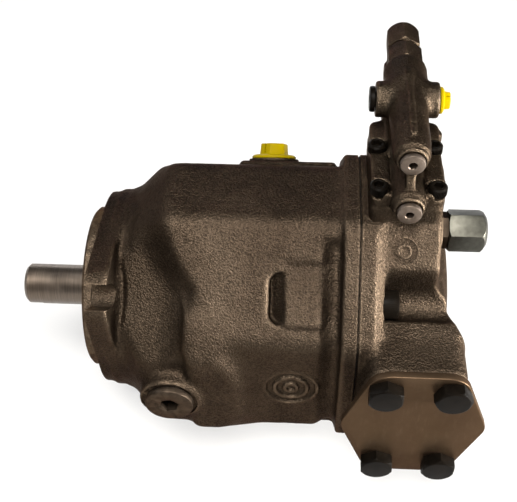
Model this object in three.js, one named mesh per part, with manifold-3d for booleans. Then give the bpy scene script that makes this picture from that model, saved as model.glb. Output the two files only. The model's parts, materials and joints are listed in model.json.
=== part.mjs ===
// Variable displacement axial piston pump with a two-spool pressure and flow control.
//
// Frame, in millimetres: the origin is the centre of the mounting flange's face, on the shaft's axis.
// +X runs along the shaft to the rear, +Z points to the control valve, and -Y to the suction port.

import * as THREE from 'three';
import { mergeVertices } from 'three/addons/utils/BufferGeometryUtils.js';
import Module from 'manifold-3d';

const wasm = await Module();
wasm.setup();

// ---------------------------------------------------------------- driving dimensions

const GAP = 0.3; // between pieces that touch
const DIAGONAL = Math.PI / 4;

const flange = { thickness: 12.5, radius: 60, earRadius: 19, earReach: 67, slotWidth: 14.3, slotReach: 70 };
const spigot = { radius: 50, length: 9.5, sealBore: 23 };
const body = {
  section: { side: 74, top: 88, diagonal: 80 }, // centre to the flats
  cornerRadius: 13,
  neck: [[12, 60], [21, 66], [41, 84], [48, 96]], // outer envelope of the neck, as x and radius
  rear: 151,
  rimStart: 142,
  rim: { side: 78.5, top: 90, diagonal: 84.5 }, // centre to the flats of the joint rim
};
const pivotX = 72; // swash plate's axis, which lies in the plane of the ball joints at zero stroke
const maxTilt = THREE.MathUtils.degToRad(18);

const rotor = { pistons: 9, pitchRadius: 33, front: 93, rear: 146.7, radius: 46, bore: 8.85 };
const piston = { radius: 8.5, ball: 5.5, neck: 3.5, shoulder: 8, length: 48 };
const slipper = { socket: 6.1, body: 7.4, top: 2, pad: 10.3, padTop: -6, foot: -9 };
const retainer = { front: -5.7, thickness: 3, hole: 9.6, inner: 20.3, outer: 45.2 };
const swash = { face: -9.3, thickness: 7, radius: 46, hole: 21.5, journal: 36, armReach: 66, armHalf: 9 };
const cradle = { inner: 36.3, outer: 40.6, from: 24, to: 43.7, halfAngle: THREE.MathUtils.degToRad(36) };
const control = { offset: 59, pistonRadius: 8, boreRadius: 8.5, nutAcross: 22, lockAcross: 19, lockHeight: 4 };

const shaftDims = { radius: 12.5, tip: -55, seal: 15, core: 14, tail: 12, end: 176, keyWidth: 8, keyHeight: 7 };
const plate = { front: 151.4, ridge: 163.5, rear: 196, core: { side: 80, top: 80, diagonal: 62 } };
// the raised seat of the control valve on the rear casting
const seat = { top: 90, front: 26.7, side: 42.8, shoulder: 73.9, foot: 58, rear: 195.5 };
const bodyBolt = { reach: 70, radius: 5, head: 8, headHeight: 10 };
const port = { x: 184, suctionFace: 92.5, pressureFace: 84.9, bossHalfX: 33, bossHalfZ: 43 };
const suction = { halfX: 41, halfZ: 47, edge: 24, thickness: 4.4, boltX: 17.85, boltZ: 34.95, boltRadius: 6 };
const pressure = { halfX: 33, halfZ: 39, edge: 19, thickness: 10 };
const valve = {
  x: 175,
  base: seat.top + GAP,
  footHeight: 20,
  footHalfX: 19.5,
  footFront: -25,
  footRear: 36,
  lowerZ: 106, // axis of the flow spool
  upperZ: 130, // axis of the pressure spool
  lowerFront: -32.5,
  upperFront: -20.7,
  tail: 57.5,
  barrel: 10.5,
  spool: 4,
  springBore: 7.2,
  portY: 33,
  portZ: 128,
  portHalfX: 17.5,
};
const drain = { x: 45, z: -4, radius: 10.7, collar: 14, face: 82.2 };
const leak = { x: 100, radius: 8.9, flangeRadius: 13.75, face: 82.6 };

// ---------------------------------------------------------------- materials

function metal(color, roughness, metalness) {
  return () => new THREE.MeshStandardMaterial({ color, roughness, metalness });
}

const look = {
  castIron: metal(0x4b4038, 0.6, 0.35),
  valveIron: metal(0x3c342f, 0.6, 0.35),
  paintedSteel: metal(0x584638, 0.5, 0.4),
  blackBolt: metal(0x15130f, 0.45, 0.5),
  steel: metal(0x8d8478, 0.3, 0.9),
  zinc: metal(0x969b8c, 0.35, 0.8),
  bronze: metal(0xa8763a, 0.35, 0.8),
  springSteel: metal(0x6d6d70, 0.35, 0.9),
  yellowPlastic: metal(0xe6d700, 0.45, 0),
  blackRubber: metal(0x181818, 0.7, 0),
};

// ---------------------------------------------------------------- solids

/** Turns a closed three.js geometry into a solid whose faces point out. */
function solid(geometry) {
  const bare = geometry.clone();
  bare.deleteAttribute('normal');
  bare.deleteAttribute('uv');
  const merged = mergeVertices(bare, 1e-4);
  const at = merged.getAttribute('position');
  const corner = (i) => new THREE.Vector3().fromBufferAttribute(at, i);
  const kept = [];
  let volume = 0;
  for (let i = 0; i < merged.index.count; i += 3) {
    const [a, b, c] = [0, 1, 2].map((k) => merged.index.getX(i + k));
    if (a === b || b === c || c === a) continue;
    kept.push([a, b, c]);
    volume += corner(a).dot(corner(b).cross(corner(c)));
  }
  const order = volume > 0 ? kept : kept.map(([a, b, c]) => [a, c, b]);
  const mesh = new wasm.Mesh({
    numProp: 3,
    vertProperties: Float32Array.from(at.array),
    triVerts: Uint32Array.from(order.flat()),
  });
  return new wasm.Manifold(mesh);
}

function join(first, ...others) {
  return others.reduce((sum, other) => sum.add(other), first);
}

function cut(first, ...tools) {
  return tools.reduce((rest, tool) => rest.subtract(tool), first);
}

/** The same solid carried by a matrix. */
function moved(piece, matrix) {
  return solid(toGeometry(piece).applyMatrix4(matrix));
}

function turnedAboutX(piece, angle) {
  return moved(piece, new THREE.Matrix4().makeRotationX(angle));
}

function toGeometry(piece) {
  const mesh = piece.getMesh();
  const geometry = new THREE.BufferGeometry();
  geometry.setAttribute('position', new THREE.BufferAttribute(Float32Array.from(mesh.vertProperties), 3));
  geometry.setIndex(new THREE.BufferAttribute(Uint32Array.from(mesh.triVerts), 1));
  geometry.computeVertexNormals();
  return geometry;
}

function ordered(a, b) {
  return [Math.min(a, b), Math.max(a, b)];
}

function box([x0, x1], [y0, y1], [z0, z1]) {
  const geometry = new THREE.BoxGeometry(x1 - x0, y1 - y0, z1 - z0);
  return solid(geometry.translate((x0 + x1) / 2, (y0 + y1) / 2, (z0 + z1) / 2));
}

/** A round or many-sided rod along X from x0 to x1. */
function rodX(radius, x0, x1, y = 0, z = 0, sides = 32) {
  const geometry = new THREE.CylinderGeometry(radius, radius, x1 - x0, sides);
  return solid(geometry.rotateZ(-Math.PI / 2).translate((x0 + x1) / 2, y, z));
}

function rodY(radius, y0, y1, x = 0, z = 0, sides = 32) {
  const geometry = new THREE.CylinderGeometry(radius, radius, y1 - y0, sides);
  return solid(geometry.translate(x, (y0 + y1) / 2, z));
}

function rodZ(radius, z0, z1, x = 0, y = 0, sides = 32) {
  const geometry = new THREE.CylinderGeometry(radius, radius, z1 - z0, sides);
  return solid(geometry.rotateX(Math.PI / 2).translate(x, y, (z0 + z1) / 2));
}

/** A solid of revolution about X. The profile lists x and radius, from the axis to the axis, or as a loop. */
function spun(profile, sides = 32, closed = false) {
  const points = profile.map(([x, radius]) => new THREE.Vector2(radius, x));
  if (closed) points.push(points[0].clone());
  return solid(new THREE.LatheGeometry(points, sides).rotateZ(-Math.PI / 2));
}

/** A ring about X with a rectangular section. */
function ring(inner, outer, x0, x1, sides = 32) {
  return spun([[x0, inner], [x0, outer], [x1, outer], [x1, inner]], sides, true);
}

/** A shape drawn in Y and Z, extruded along X. */
function prismX(shape, x0, x1) {
  const geometry = new THREE.ExtrudeGeometry(shape, { depth: x1 - x0, bevelEnabled: false, curveSegments: 6 });
  const [ex, ey, ez] = [new THREE.Vector3(1, 0, 0), new THREE.Vector3(0, 1, 0), new THREE.Vector3(0, 0, 1)];
  geometry.applyMatrix4(new THREE.Matrix4().makeBasis(ey, ez, ex));
  return solid(geometry.translate(x0, 0, 0));
}

/** A shape drawn in X and Z, extruded along Y. */
function prismY(shape, y0, y1) {
  const geometry = new THREE.ExtrudeGeometry(shape, { depth: y1 - y0, bevelEnabled: false, curveSegments: 6 });
  return solid(geometry.rotateX(Math.PI / 2).translate(0, y1, 0));
}

/** A shape drawn in X and Y, extruded along Z. */
function prismZ(shape, z0, z1) {
  const geometry = new THREE.ExtrudeGeometry(shape, { depth: z1 - z0, bevelEnabled: false, curveSegments: 6 });
  return solid(geometry.translate(0, 0, z0));
}

/** A closed outline through the corners, each rounded by an arc of the given radius. */
function roundedOutline(corners, radius, steps = 4) {
  const points = [];
  corners.forEach((corner, i) => {
    const before = corners[(i + corners.length - 1) % corners.length];
    const after = corners[(i + 1) % corners.length];
    const toBefore = before.clone().sub(corner).normalize();
    const toAfter = after.clone().sub(corner).normalize();
    const half = Math.acos(toBefore.dot(toAfter)) / 2;
    const start = corner.clone().addScaledVector(toBefore, radius / Math.tan(half));
    const end = corner.clone().addScaledVector(toAfter, radius / Math.tan(half));
    const inward = toBefore.clone().add(toAfter).normalize();
    const middle = inward.multiplyScalar(radius / Math.sin(half)).add(corner);
    const from = start.clone().sub(middle).angle();
    let sweep = end.clone().sub(middle).angle() - from;
    if (sweep > Math.PI) sweep -= 2 * Math.PI;
    if (sweep < -Math.PI) sweep += 2 * Math.PI;
    for (let k = 0; k <= steps; k += 1) {
      const angle = from + (sweep * k) / steps;
      points.push(new THREE.Vector2(Math.cos(angle), Math.sin(angle)).multiplyScalar(radius).add(middle));
    }
  });
  return new THREE.Shape(points);
}

/** An eight-sided outline. The lines of the side, top and diagonal flats meet at its corners. */
function octagon({ side, top, diagonal }, radius) {
  const sideRun = diagonal * Math.SQRT2 - side;
  const topRun = diagonal * Math.SQRT2 - top;
  const corners = [[side, sideRun], [topRun, top], [-topRun, top], [-side, sideRun], [-side, -sideRun],
    [-topRun, -top], [topRun, -top], [side, -sideRun]];
  return roundedOutline(corners.map(([y, z]) => new THREE.Vector2(y, z)), radius, 3);
}

function rectangle(x0, x1, z0, z1, radius) {
  const corners = [[x0, z0], [x1, z0], [x1, z1], [x0, z1]];
  return roundedOutline(corners.map(([x, z]) => new THREE.Vector2(x, z)), radius);
}

/** The six-cornered outline of a port cover, centred on the port. */
function coverOutline({ halfX, halfZ, edge }) {
  const corners = [[halfX, 0], [edge, halfZ], [-edge, halfZ], [-halfX, 0], [-edge, -halfZ], [edge, -halfZ]];
  return roundedOutline(corners.map(([x, z]) => new THREE.Vector2(port.x + x, z)), 12);
}

/** A coil of wire about X, with flat-cut ends. */
function coil(radius, wire, x0, x1, turns) {
  class Helix extends THREE.Curve {
    getPoint(t) {
      const angle = turns * 2 * Math.PI * t;
      const x = THREE.MathUtils.lerp(x0 + wire, x1 - wire, t);
      return new THREE.Vector3(x, radius * Math.cos(angle), radius * Math.sin(angle));
    }
  }
  const corners = [0, 1, 2, 3, 4].map((k) => (k * 2 * Math.PI) / 5);
  const points = corners.map((a) => new THREE.Vector2(Math.cos(a), Math.sin(a)).multiplyScalar(wire));
  const path = { extrudePath: new Helix(), steps: turns * 7, bevelEnabled: false };
  return solid(new THREE.ExtrudeGeometry(new THREE.Shape(points), path));
}

// ---------------------------------------------------------------- casings

/** The flange's outline: a disc with two ears along Z, joined by tangents, and an open slot in each ear. */
function flangePlate() {
  const { radius, earRadius, earReach, slotWidth, slotReach, thickness } = flange;
  const lean = Math.acos((radius - earRadius) / earReach);
  const outline = new THREE.Shape();
  outline.absarc(0, earReach, earRadius, Math.PI / 2 - lean, Math.PI / 2 + lean);
  outline.absarc(0, 0, radius, Math.PI / 2 + lean, 1.5 * Math.PI - lean);
  outline.absarc(0, -earReach, earRadius, 1.5 * Math.PI - lean, 1.5 * Math.PI + lean);
  outline.absarc(0, 0, radius, 1.5 * Math.PI + lean, 2.5 * Math.PI - lean);
  const slots = [1, -1].flatMap((side) => [
    rodX(slotWidth / 2, -1, thickness + 1, 0, side * slotReach, 16),
    box([-1, thickness + 1], [-slotWidth / 2, slotWidth / 2], ordered(side * slotReach, side * (slotReach + 40))),
  ]);
  return cut(prismX(outline, 0, thickness), ...slots);
}

/** The hollow behind an ear that clears a mounting bolt's head and rises to the body's flat. */
function boltScoop(turn) {
  const profile = [[12, 54], [26, 58], [41, 63], [61, 80.5], [61, 120], [12, 120]];
  const shape = new THREE.Shape(profile.map(([x, z]) => new THREE.Vector2(x, z)));
  return turnedAboutX(prismY(shape, -39, 39), turn);
}

/** Space inside the housing for the swash plate, its arms, and the rotating group. */
function housingCavity() {
  return join(
    rodX(52, pivotX - 31.5, body.rear + 1, 0, 0, 32),
    rodY(cradle.outer + GAP, -47, 47, pivotX, 0, 40),
    box([pivotX - 22, body.rear + 1], [-13, 13], [-70, 70]),
    box([pivotX - 39, pivotX], [-13, 13], [-70, 0]),
    rodX(31.4, 10, pivotX, 0, 0, 28),
    rodX(17, -10, 20, 0, 0, 16),
    rodX(spigot.sealBore, -spigot.length - 1, 5, 0, 0, 24),
  );
}

function housing() {
  const envelope = spun([
    [flange.thickness - 1, 0], [flange.thickness - 1, 59], ...body.neck, [body.rear + 5, 96], [body.rear + 5, 0],
  ], 36);
  const barrel = prismX(octagon(body.section, body.cornerRadius), flange.thickness - 1, body.rear);
  const rim = rimOutline(body.rimStart, body.rear);
  const drainBoss = rodY(17.5, -drain.face, -55, drain.x, drain.z, 24);
  const sidePad = rodY(21, -drain.face + 0.6, -60, drain.x + 17, drain.z - 6, 24);
  const leakPad = turnedAboutX(box([80, 138], [-19, 19], [60, leak.face]), -DIAGONAL);
  const padRing = rodX(spigot.radius, -spigot.length, 1, 0, 0, 40);
  const scoops = [DIAGONAL, DIAGONAL + Math.PI].map(boltScoop);
  const boltHoles = diagonals().map(([y, z]) => (
    rodX(bodyBolt.radius + GAP, body.rear - 26, body.rear + 1, y, z, 12)));
  const shell = cut(barrel.intersect(envelope), ...scoops);
  return cut(
    join(shell, turnedAboutX(flangePlate(), DIAGONAL), padRing, rim, drainBoss, sidePad, leakPad),
    housingCavity(),
    ...boltHoles,
    rodY(drain.radius + GAP, -drain.face - 1, -45, drain.x, drain.z, 20),
    turnedAboutX(rodZ(leak.radius + GAP, 45, leak.face + 1, leak.x, 0, 20), -DIAGONAL),
  );
}

/** The joint's rim, which stands proud of the body but is level with it underneath. */
function rimOutline(x0, x1) {
  const level = box([x0 - 1, x1 + 1], [-100, 100], [-body.section.top, 100]);
  return prismX(octagon(body.rim, 16), x0, x1).intersect(level);
}

/** The four places, as y and z, where the body bolts stand. */
function diagonals() {
  const reach = bodyBolt.reach * Math.SQRT1_2;
  return [[-reach, reach], [reach, reach], [reach, -reach], [-reach, -reach]];
}

/** The rear casting: joint ridge, core, two port bosses, valve seat, and the passages inside. */
function portPlate() {
  const ridge = rimOutline(plate.front, plate.ridge);
  const core = prismX(octagon(plate.core, 6), plate.ridge - 1, plate.rear);
  const valveSeat = prismX(new THREE.Shape([
    [-seat.front, seat.top], [seat.front, seat.top], [seat.side, seat.shoulder], [seat.side - 2, seat.foot],
    [2 - seat.side, seat.foot], [-seat.side, seat.shoulder],
  ].map(([y, z]) => new THREE.Vector2(y, z))), plate.ridge - 1, seat.rear);
  const hub = spun([[plate.rear - 1, 0], [plate.rear - 1, 44], [200, 42], [206, 34], [206, 0]], 32);
  const stopBoss = rodX(13, plate.rear - 4, 199, 0, control.offset, 24);
  const boltPockets = diagonals().flatMap(([y, z]) => [
    rodX(bodyBolt.radius + GAP, plate.front - 1, plate.ridge + 1, y, z, 12),
    rodX(bodyBolt.head + 1.2, plate.ridge, plate.rear + 25, y, z, 20),
  ]);
  const coverBolts = boltGrid(suction).map(([x, z]) => (
    rodY(suction.boltRadius + GAP, -port.suctionFace - 1, -port.suctionFace + 30, port.x + x, z, 12)));
  return cut(
    join(ridge, core, valveSeat, portBosses(), hub, stopBoss),
    ...boltPockets,
    ...coverBolts,
    rodY(19, -port.suctionFace - 1, -26, port.x, 0, 24),
    rodY(12.5, 26, port.pressureFace + 1, port.x, 0, 16),
    box([plate.front - 1, port.x], [-42, -27], [-20, 20]),
    box([plate.front - 1, port.x], [27, 42], [-17, 17]),
    rodX(23.4, plate.front - 1, 172, 0, 0, 24),
    rodX(13, 170, 178, 0, 0, 16),
    rodX(control.boreRadius, plate.front - 1, 186, 0, control.offset, 16),
    rodX(4.3, 185, 220, 0, control.offset, 12),
    rodX(10, plate.front - 1, 176, 0, -control.offset, 16),
  );
}

/** The two port bosses in one bar along Y, narrower behind the core than at its ends. */
function portBosses() {
  const [front, rear] = [port.x - port.bossHalfX + 1, port.x + port.bossHalfX - 3];
  const section = rectangle(front, rear, -port.bossHalfZ, port.bossHalfZ, 16);
  const bar = prismY(section, -port.suctionFace, port.pressureFace);
  const plan = new THREE.Shape([
    [front, -99], [rear, -99], [rear, -66], [200, -46], [200, 46], [rear, 66], [rear, 99], [front, 99],
  ].map(([x, y]) => new THREE.Vector2(x, y)));
  return bar.intersect(prismZ(plan, -50, 50));
}

function boltGrid({ boltX, boltZ }) {
  return [[-boltX, boltZ], [boltX, boltZ], [boltX, -boltZ], [-boltX, -boltZ]];
}

function suctionCover() {
  const holes = boltGrid(suction).map(([x, z]) => (
    rodY(suction.boltRadius + GAP, -port.suctionFace - 20, -port.suctionFace, port.x + x, z, 12)));
  const near = -port.suctionFace - GAP;
  return cut(prismY(coverOutline(suction), near - suction.thickness, near), ...holes);
}

function pressureCover() {
  const near = port.pressureFace + GAP;
  return prismY(coverOutline(pressure), near, near + pressure.thickness);
}

// ---------------------------------------------------------------- fasteners and plugs

/** A screw or plug with a round head and a hexagon socket, the head's seat at x = 0, its shank towards -X. */
function socketScrew(shankRadius, headRadius, headHeight, length, hexAcross) {
  const blank = spun([
    [-length, 0], [-length, shankRadius], [0, shankRadius], [0, headRadius],
    [headHeight - 0.8, headRadius], [headHeight, headRadius - 0.8], [headHeight, 0],
  ], 16);
  return cut(blank, rodX(hexAcross / Math.sqrt(3), headHeight / 2, headHeight + 1, 0, 0, 6));
}

/** A hexagon head bolt along +X, its head's seat at x = 0 and its shank towards -X. */
function hexBolt(shankRadius, across, headHeight, length) {
  const corner = across / Math.sqrt(3);
  const head = rodX(corner, 0, headHeight, 0, 0, 6).intersect(
    spun([[0, 0], [0, corner + 1], [headHeight - 1.6, corner + 0.4], [headHeight, corner - 1.6], [headHeight, 0]], 24),
  );
  return join(head, rodX(shankRadius, -length, 1, 0, 0, 12));
}

/** A moulded plug: shank towards -X, a thin flange, and a hexagon grip split by a slot. */
function mouldedPlug(shankRadius, flangeRadius, across, gripHeight, length) {
  const shank = spun([
    [-length, 0], [-length, shankRadius], [0, shankRadius], [0, flangeRadius], [1.6, flangeRadius],
    [2.6, flangeRadius - 1.4], [2.6, 0],
  ], 20);
  const grip = rodX(across / Math.sqrt(3), 1, 2.6 + gripHeight, 0, 0, 6);
  return cut(join(shank, grip), box([3.4, 20], [-0.5, 0.5], [-20, 20]));
}

/** The closed nut over the stroke stop screw, on its thin lock nut. */
function capNut() {
  const { nutAcross, lockAcross, lockHeight } = control;
  const corner = nutAcross / Math.sqrt(3);
  const closed = rodX(corner, 0, 22, 0, 0, 6).intersect(
    spun([[0, 0], [0, 11.4], [1, corner + 0.2], [18.5, corner + 0.2], [22, 9.2], [22, 0]], 24),
  );
  const lock = rodX(lockAcross / Math.sqrt(3), -lockHeight, 0.5, 0, 0, 6);
  return cut(join(closed, lock), rodX(4.3, -lockHeight - 1, 17, 0, 0, 16));
}

// ---------------------------------------------------------------- rotating group and swash plate

function shaft() {
  const { radius, tip, seal, core, tail, end, keyWidth } = shaftDims;
  const turned = spun([
    [tip, 0], [tip, radius - 2], [tip + 2, radius], [-4, radius], [-3, seal], [31, seal], [31, core],
    [148, core], [148, tail], [end, tail - 1], [end, 0],
  ], 24);
  const keyway = box([-51, -13], [-keyWidth / 2 - 0.1, keyWidth / 2 + 0.1], [-20, -8.4]);
  return cut(turned, keyway);
}

function shaftKey() {
  const { keyWidth, keyHeight } = shaftDims;
  return box([-50.5, -13.5], [-keyWidth / 2 + 0.2, keyWidth / 2 - 0.2], [-8.8 - keyHeight, -8.8]);
}

/** A tapered bearing as one ring, its faces stepped as the cone and the cup are. */
function bearing(inner, outer, x0, x1) {
  const middle = (inner + outer) / 2;
  return spun([
    [x0, inner], [x0, middle - 2], [x0 + 2, middle - 2], [x0 + 2, middle + 3], [x0, middle + 3], [x0, outer],
    [x1, outer], [x1, inner],
  ], 24, true);
}

function cylinderBlock() {
  const { pistons, pitchRadius, front, rear, radius, bore } = rotor;
  const blank = spun([
    [front, shaftDims.core + GAP], [front, radius - 2], [front + 2, radius], [rear - 8, radius], [rear - 8, 44],
    [rear, 44], [rear, shaftDims.core + GAP],
  ], 32, true);
  const bores = Array.from({ length: pistons }, (_, i) => {
    const [y, z] = pistonPlace(i);
    return join(
      rodX(bore, front - 1, 141, y, z, 12),
      rodX(5, 140, rear + 1, y, z, 8),
    );
  });
  return cut(blank, ...bores);
}

/** Where piston i stands, as y and z. Piston 0 is at the top. */
function pistonPlace(i) {
  const angle = (2 * Math.PI * i) / rotor.pistons;
  return [rotor.pitchRadius * Math.sin(angle), rotor.pitchRadius * Math.cos(angle)];
}

/** A piston along +X, with the centre of its ball at the origin. */
function pistonBody() {
  const { radius, ball, neck, shoulder, length } = piston;
  const arc = [-90, -50, -15, 15, 50].map((degrees) => {
    const angle = THREE.MathUtils.degToRad(degrees);
    return [ball * Math.sin(angle), Math.max(0, ball * Math.cos(angle))];
  });
  arc[0] = [-ball, 0];
  return spun([
    ...arc, [shoulder - 1, neck], [shoulder + 1, radius], [shoulder + length, radius], [shoulder + length, 0],
  ], 12);
}

/** A slipper with its socket's centre at the origin and its foot towards -X. */
function slipperBody() {
  const { socket, body: outer, top, pad, padTop, foot } = slipper;
  const mouth = Math.asin(top / socket);
  const inside = [mouth, -0.1, -0.55, -1.05].map((angle) => [socket * Math.sin(angle), socket * Math.cos(angle)]);
  return spun([
    [foot, 0], [foot, pad], [padTop, pad], [padTop, outer], [top, outer], ...inside, [-socket, 0],
  ], 12);
}

function retainingPlate() {
  const { front, thickness, hole, inner, outer } = retainer;
  const holes = Array.from({ length: rotor.pistons }, (_, i) => {
    const [y, z] = pistonPlace(i);
    return rodX(hole, front - 1, front + thickness + 1, y, z, 12);
  });
  return cut(ring(inner, outer, front, front + thickness, 36), ...holes);
}

/** The half-round hub that carries the retaining plate, centred on the swash plate's axis. */
function guideBall() {
  const radius = 20;
  const inner = shaftDims.core + GAP;
  const arc = [-20, -7, 7, 24, 42].map((degrees) => {
    const angle = THREE.MathUtils.degToRad(degrees);
    return [radius * Math.sin(angle), radius * Math.cos(angle)];
  });
  const tail = rotor.front - pivotX - GAP;
  return spun([[arc[0][0], inner], ...arc, [16, 16.5], [tail, 16.5], [tail, inner]], 24, true);
}

/** The tilting plate about its own axis: running disc, two journals behind it, and two arms for the pistons. */
function swashPlate() {
  const { face, thickness, radius, hole, journal, armReach, armHalf } = swash;
  const disc = rodX(radius, face - thickness, face, 0, 0, 48);
  const arms = box([face - thickness, face], [-armHalf, armHalf], [-armReach, armReach]);
  const front = box([-journal - 1, face - 1], [-60, 60], [-60, 60]);
  const journals = [-1, 1].map((side) => {
    const [from, to] = ordered(side * 22.5, side * 44);
    return rodY(journal, from, to, 0, 0, 48).intersect(front);
  });
  return cut(join(disc, arms, ...journals), rodX(hole, face - 60, face + 1, 0, 0, 32));
}

/** One curved shell of rollers under a journal, about the swash plate's axis. */
function cradleBearing() {
  const { inner, outer, from, to, halfAngle } = cradle;
  const arc = new THREE.Shape();
  arc.absarc(0, 0, outer, Math.PI - halfAngle, Math.PI + halfAngle);
  arc.absarc(0, 0, inner, Math.PI + halfAngle, Math.PI - halfAngle, true);
  return prismY(arc, from, to);
}

/** The thin plate with two kidney openings that the block runs on. */
function valvePlate() {
  const outline = new THREE.Shape();
  outline.absarc(0, 0, 45, 0, 2 * Math.PI);
  const bore = new THREE.Path();
  bore.absarc(0, 0, shaftDims.core + 1, 0, 2 * Math.PI, true);
  outline.holes.push(bore);
  for (const middle of [0, Math.PI]) {
    const kidney = new THREE.Path();
    const half = THREE.MathUtils.degToRad(62);
    kidney.absarc(0, 0, 37.5, middle - half, middle + half);
    kidney.absarc(0, 0, 28.5, middle + half, middle - half, true);
    outline.holes.push(kidney);
  }
  return prismX(outline, rotor.rear + GAP, plate.front - GAP);
}

/** The piston that pushes the swash plate back, its ball end at x = 0. */
function controlPiston() {
  return spun([
    [0, 0], [1, 4], [3, 6.4], [8, control.pistonRadius], [14, control.pistonRadius], [16, 6], [66, 6],
    [68, control.pistonRadius], [99, control.pistonRadius], [99, 0],
  ], 14);
}

/** The spring-loaded piston that tilts the swash plate, its ball end at x = 0. */
function returnPiston() {
  return spun([
    [0, 0], [1, 4], [3, 6.4], [8, control.pistonRadius], [38, control.pistonRadius], [38, 5], [79, 5], [79, 0],
  ], 14);
}

// ---------------------------------------------------------------- control valve

function valveBody() {
  const { x, base, lowerZ, upperZ, lowerFront, upperFront, tail, barrel, spool, springBore } = valve;
  const { portY, portZ, portHalfX, footHalfX, footFront, footRear, footHeight } = valve;
  const foot = prismZ(rectangle(x - footHalfX, x + footHalfX, footFront, footRear, 5), base, base + footHeight);
  const lower = rodY(barrel, lowerFront, tail - 5, x, lowerZ, 20);
  const upper = rodY(barrel, upperFront, tail - 5, x, upperZ, 20);
  const web = box([x - 6, x + 6], [upperFront + 3, tail], [base, upperZ]);
  const tailBlock = box([x - 9.5, x + 9.5], [tail - 16, tail], [lowerZ - 9, upperZ + 9]);
  const bosses = rodX(10, x - portHalfX, x + portHalfX, portY, portZ, 20);
  const bores = [lowerZ, upperZ].flatMap((z) => [
    rodY(spool + GAP, lowerFront - 1, 26, x, z, 12),
    rodY(springBore, 22, tail + 1, x, z, 14),
  ]);
  const plugBores = [[lowerZ, lowerFront], [upperZ, upperFront]].map(([z, end]) => (
    rodY(5.3, end - 1, end + 8, x, z, 12)));
  return cut(
    join(foot, lower, upper, web, tailBlock, bosses),
    ...bores,
    ...plugBores,
    rodX(4.5, x - portHalfX - 1, x + portHalfX + 1, portY, portZ, 12),
  );
}

/** A spool about X, with lands that fit the bore and grooves between them. */
function spoolBody() {
  const land = valve.spool;
  return spun([
    [0, 0], [0, land], [12, land], [12, 2.4], [19, 2.4], [19, land], [38, land], [38, 2.2], [44, 2.2], [44, 0],
  ], 12);
}

/** Spring setting screw in its hexagon nut and closed cap, the face of the nut at x = 0, cap towards +X. */
function adjuster(screwLength) {
  const nut = rodX(19 / Math.sqrt(3), 0, 15, 0, 0, 6);
  const cap = rodX(18 / Math.sqrt(3), 17, 37, 0, 0, 6).intersect(
    spun([[17, 0], [17, 9.6], [18, 10.8], [31, 10.8], [37, 6.5], [37, 0]], 24),
  );
  const stem = spun([[-screwLength, 0], [-screwLength, 5.5], [-2, 5.5], [-2, 6.8], [18, 6.8], [18, 0]], 16);
  return join(nut, cap, stem);
}

// ---------------------------------------------------------------- assembly

const pump = new THREE.Group();

function add(parent, name, piece, material, position = [0, 0, 0], rotation = [0, 0, 0]) {
  const mesh = new THREE.Mesh(toGeometry(piece), material());
  mesh.name = name;
  mesh.position.set(...position);
  mesh.rotation.set(...rotation);
  parent.add(mesh);
  return mesh;
}

function group(parent, position = [0, 0, 0], rotation = [0, 0, 0]) {
  const made = new THREE.Group();
  made.position.set(...position);
  made.rotation.set(...rotation);
  parent.add(made);
  return made;
}

// rotations that carry +X to -Y and to +Y
const TO_MINUS_Y = [0, 0, -Math.PI / 2];
const TO_PLUS_Y = [0, 0, Math.PI / 2];

add(pump, 'housing', housing(), look.castIron);
add(pump, 'port_plate', portPlate(), look.castIron);
diagonals().forEach(([y, z], i) => {
  const screw = socketScrew(bodyBolt.radius, bodyBolt.head, bodyBolt.headHeight, 34, 8);
  add(pump, `body_bolt_${i + 1}`, screw, look.blackBolt, [plate.ridge + GAP, y, z]);
});

const ports = group(pump, [port.x, 0, 0]);
add(pump, 'suction_cover', suctionCover(), look.paintedSteel);
boltGrid(suction).forEach(([x, z], i) => {
  const seat = -port.suctionFace - suction.thickness - 2 * GAP;
  add(ports, `suction_cover_bolt_${i + 1}`, hexBolt(suction.boltRadius, 18, 7.5, 30), look.blackBolt,
    [x, seat, z], TO_MINUS_Y);
});
add(pump, 'pressure_cover', pressureCover(), look.paintedSteel);

add(pump, 'drain_plug', socketScrew(drain.radius, drain.collar, 4, 14, 10), look.steel,
  [drain.x, -drain.face - GAP, drain.z], TO_MINUS_Y);
const leakPort = group(pump, [0, 0, 0], [-DIAGONAL, 0, 0]);
add(leakPort, 'leakage_port_plug', mouldedPlug(leak.radius, leak.flangeRadius, 15.6, 7, 12), look.yellowPlastic,
  [leak.x, 0, leak.face + GAP], [0, -Math.PI / 2, 0]);

const stop = group(pump, [0, 0, control.offset]);
const stopTip = 181.8;
add(stop, 'stroke_stop_screw', spun([[0, 0], [0, 3], [1, 4], [36, 4], [36, 0]], 16), look.steel, [stopTip, 0, 0]);
add(stop, 'stroke_stop_cap_nut', capNut(), look.zinc, [199 + control.lockHeight + GAP, 0, 0]);

const rotating = group(pump);
add(rotating, 'drive_shaft', shaft(), look.steel);
add(rotating, 'shaft_key', shaftKey(), look.steel);
add(rotating, 'cylinder_block', cylinderBlock(), look.steel);
add(rotating, 'guide_ball', guideBall(), look.steel, [pivotX, 0, 0]);
add(rotating, 'retaining_plate', retainingPlate(), look.steel, [pivotX, 0, 0]);
for (let i = 0; i < rotor.pistons; i += 1) {
  const [y, z] = pistonPlace(i);
  add(rotating, `piston_${i + 1}`, pistonBody(), look.steel, [pivotX, y, z]);
  add(rotating, `slipper_${i + 1}`, slipperBody(), look.bronze, [pivotX, y, z]);
}

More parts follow.
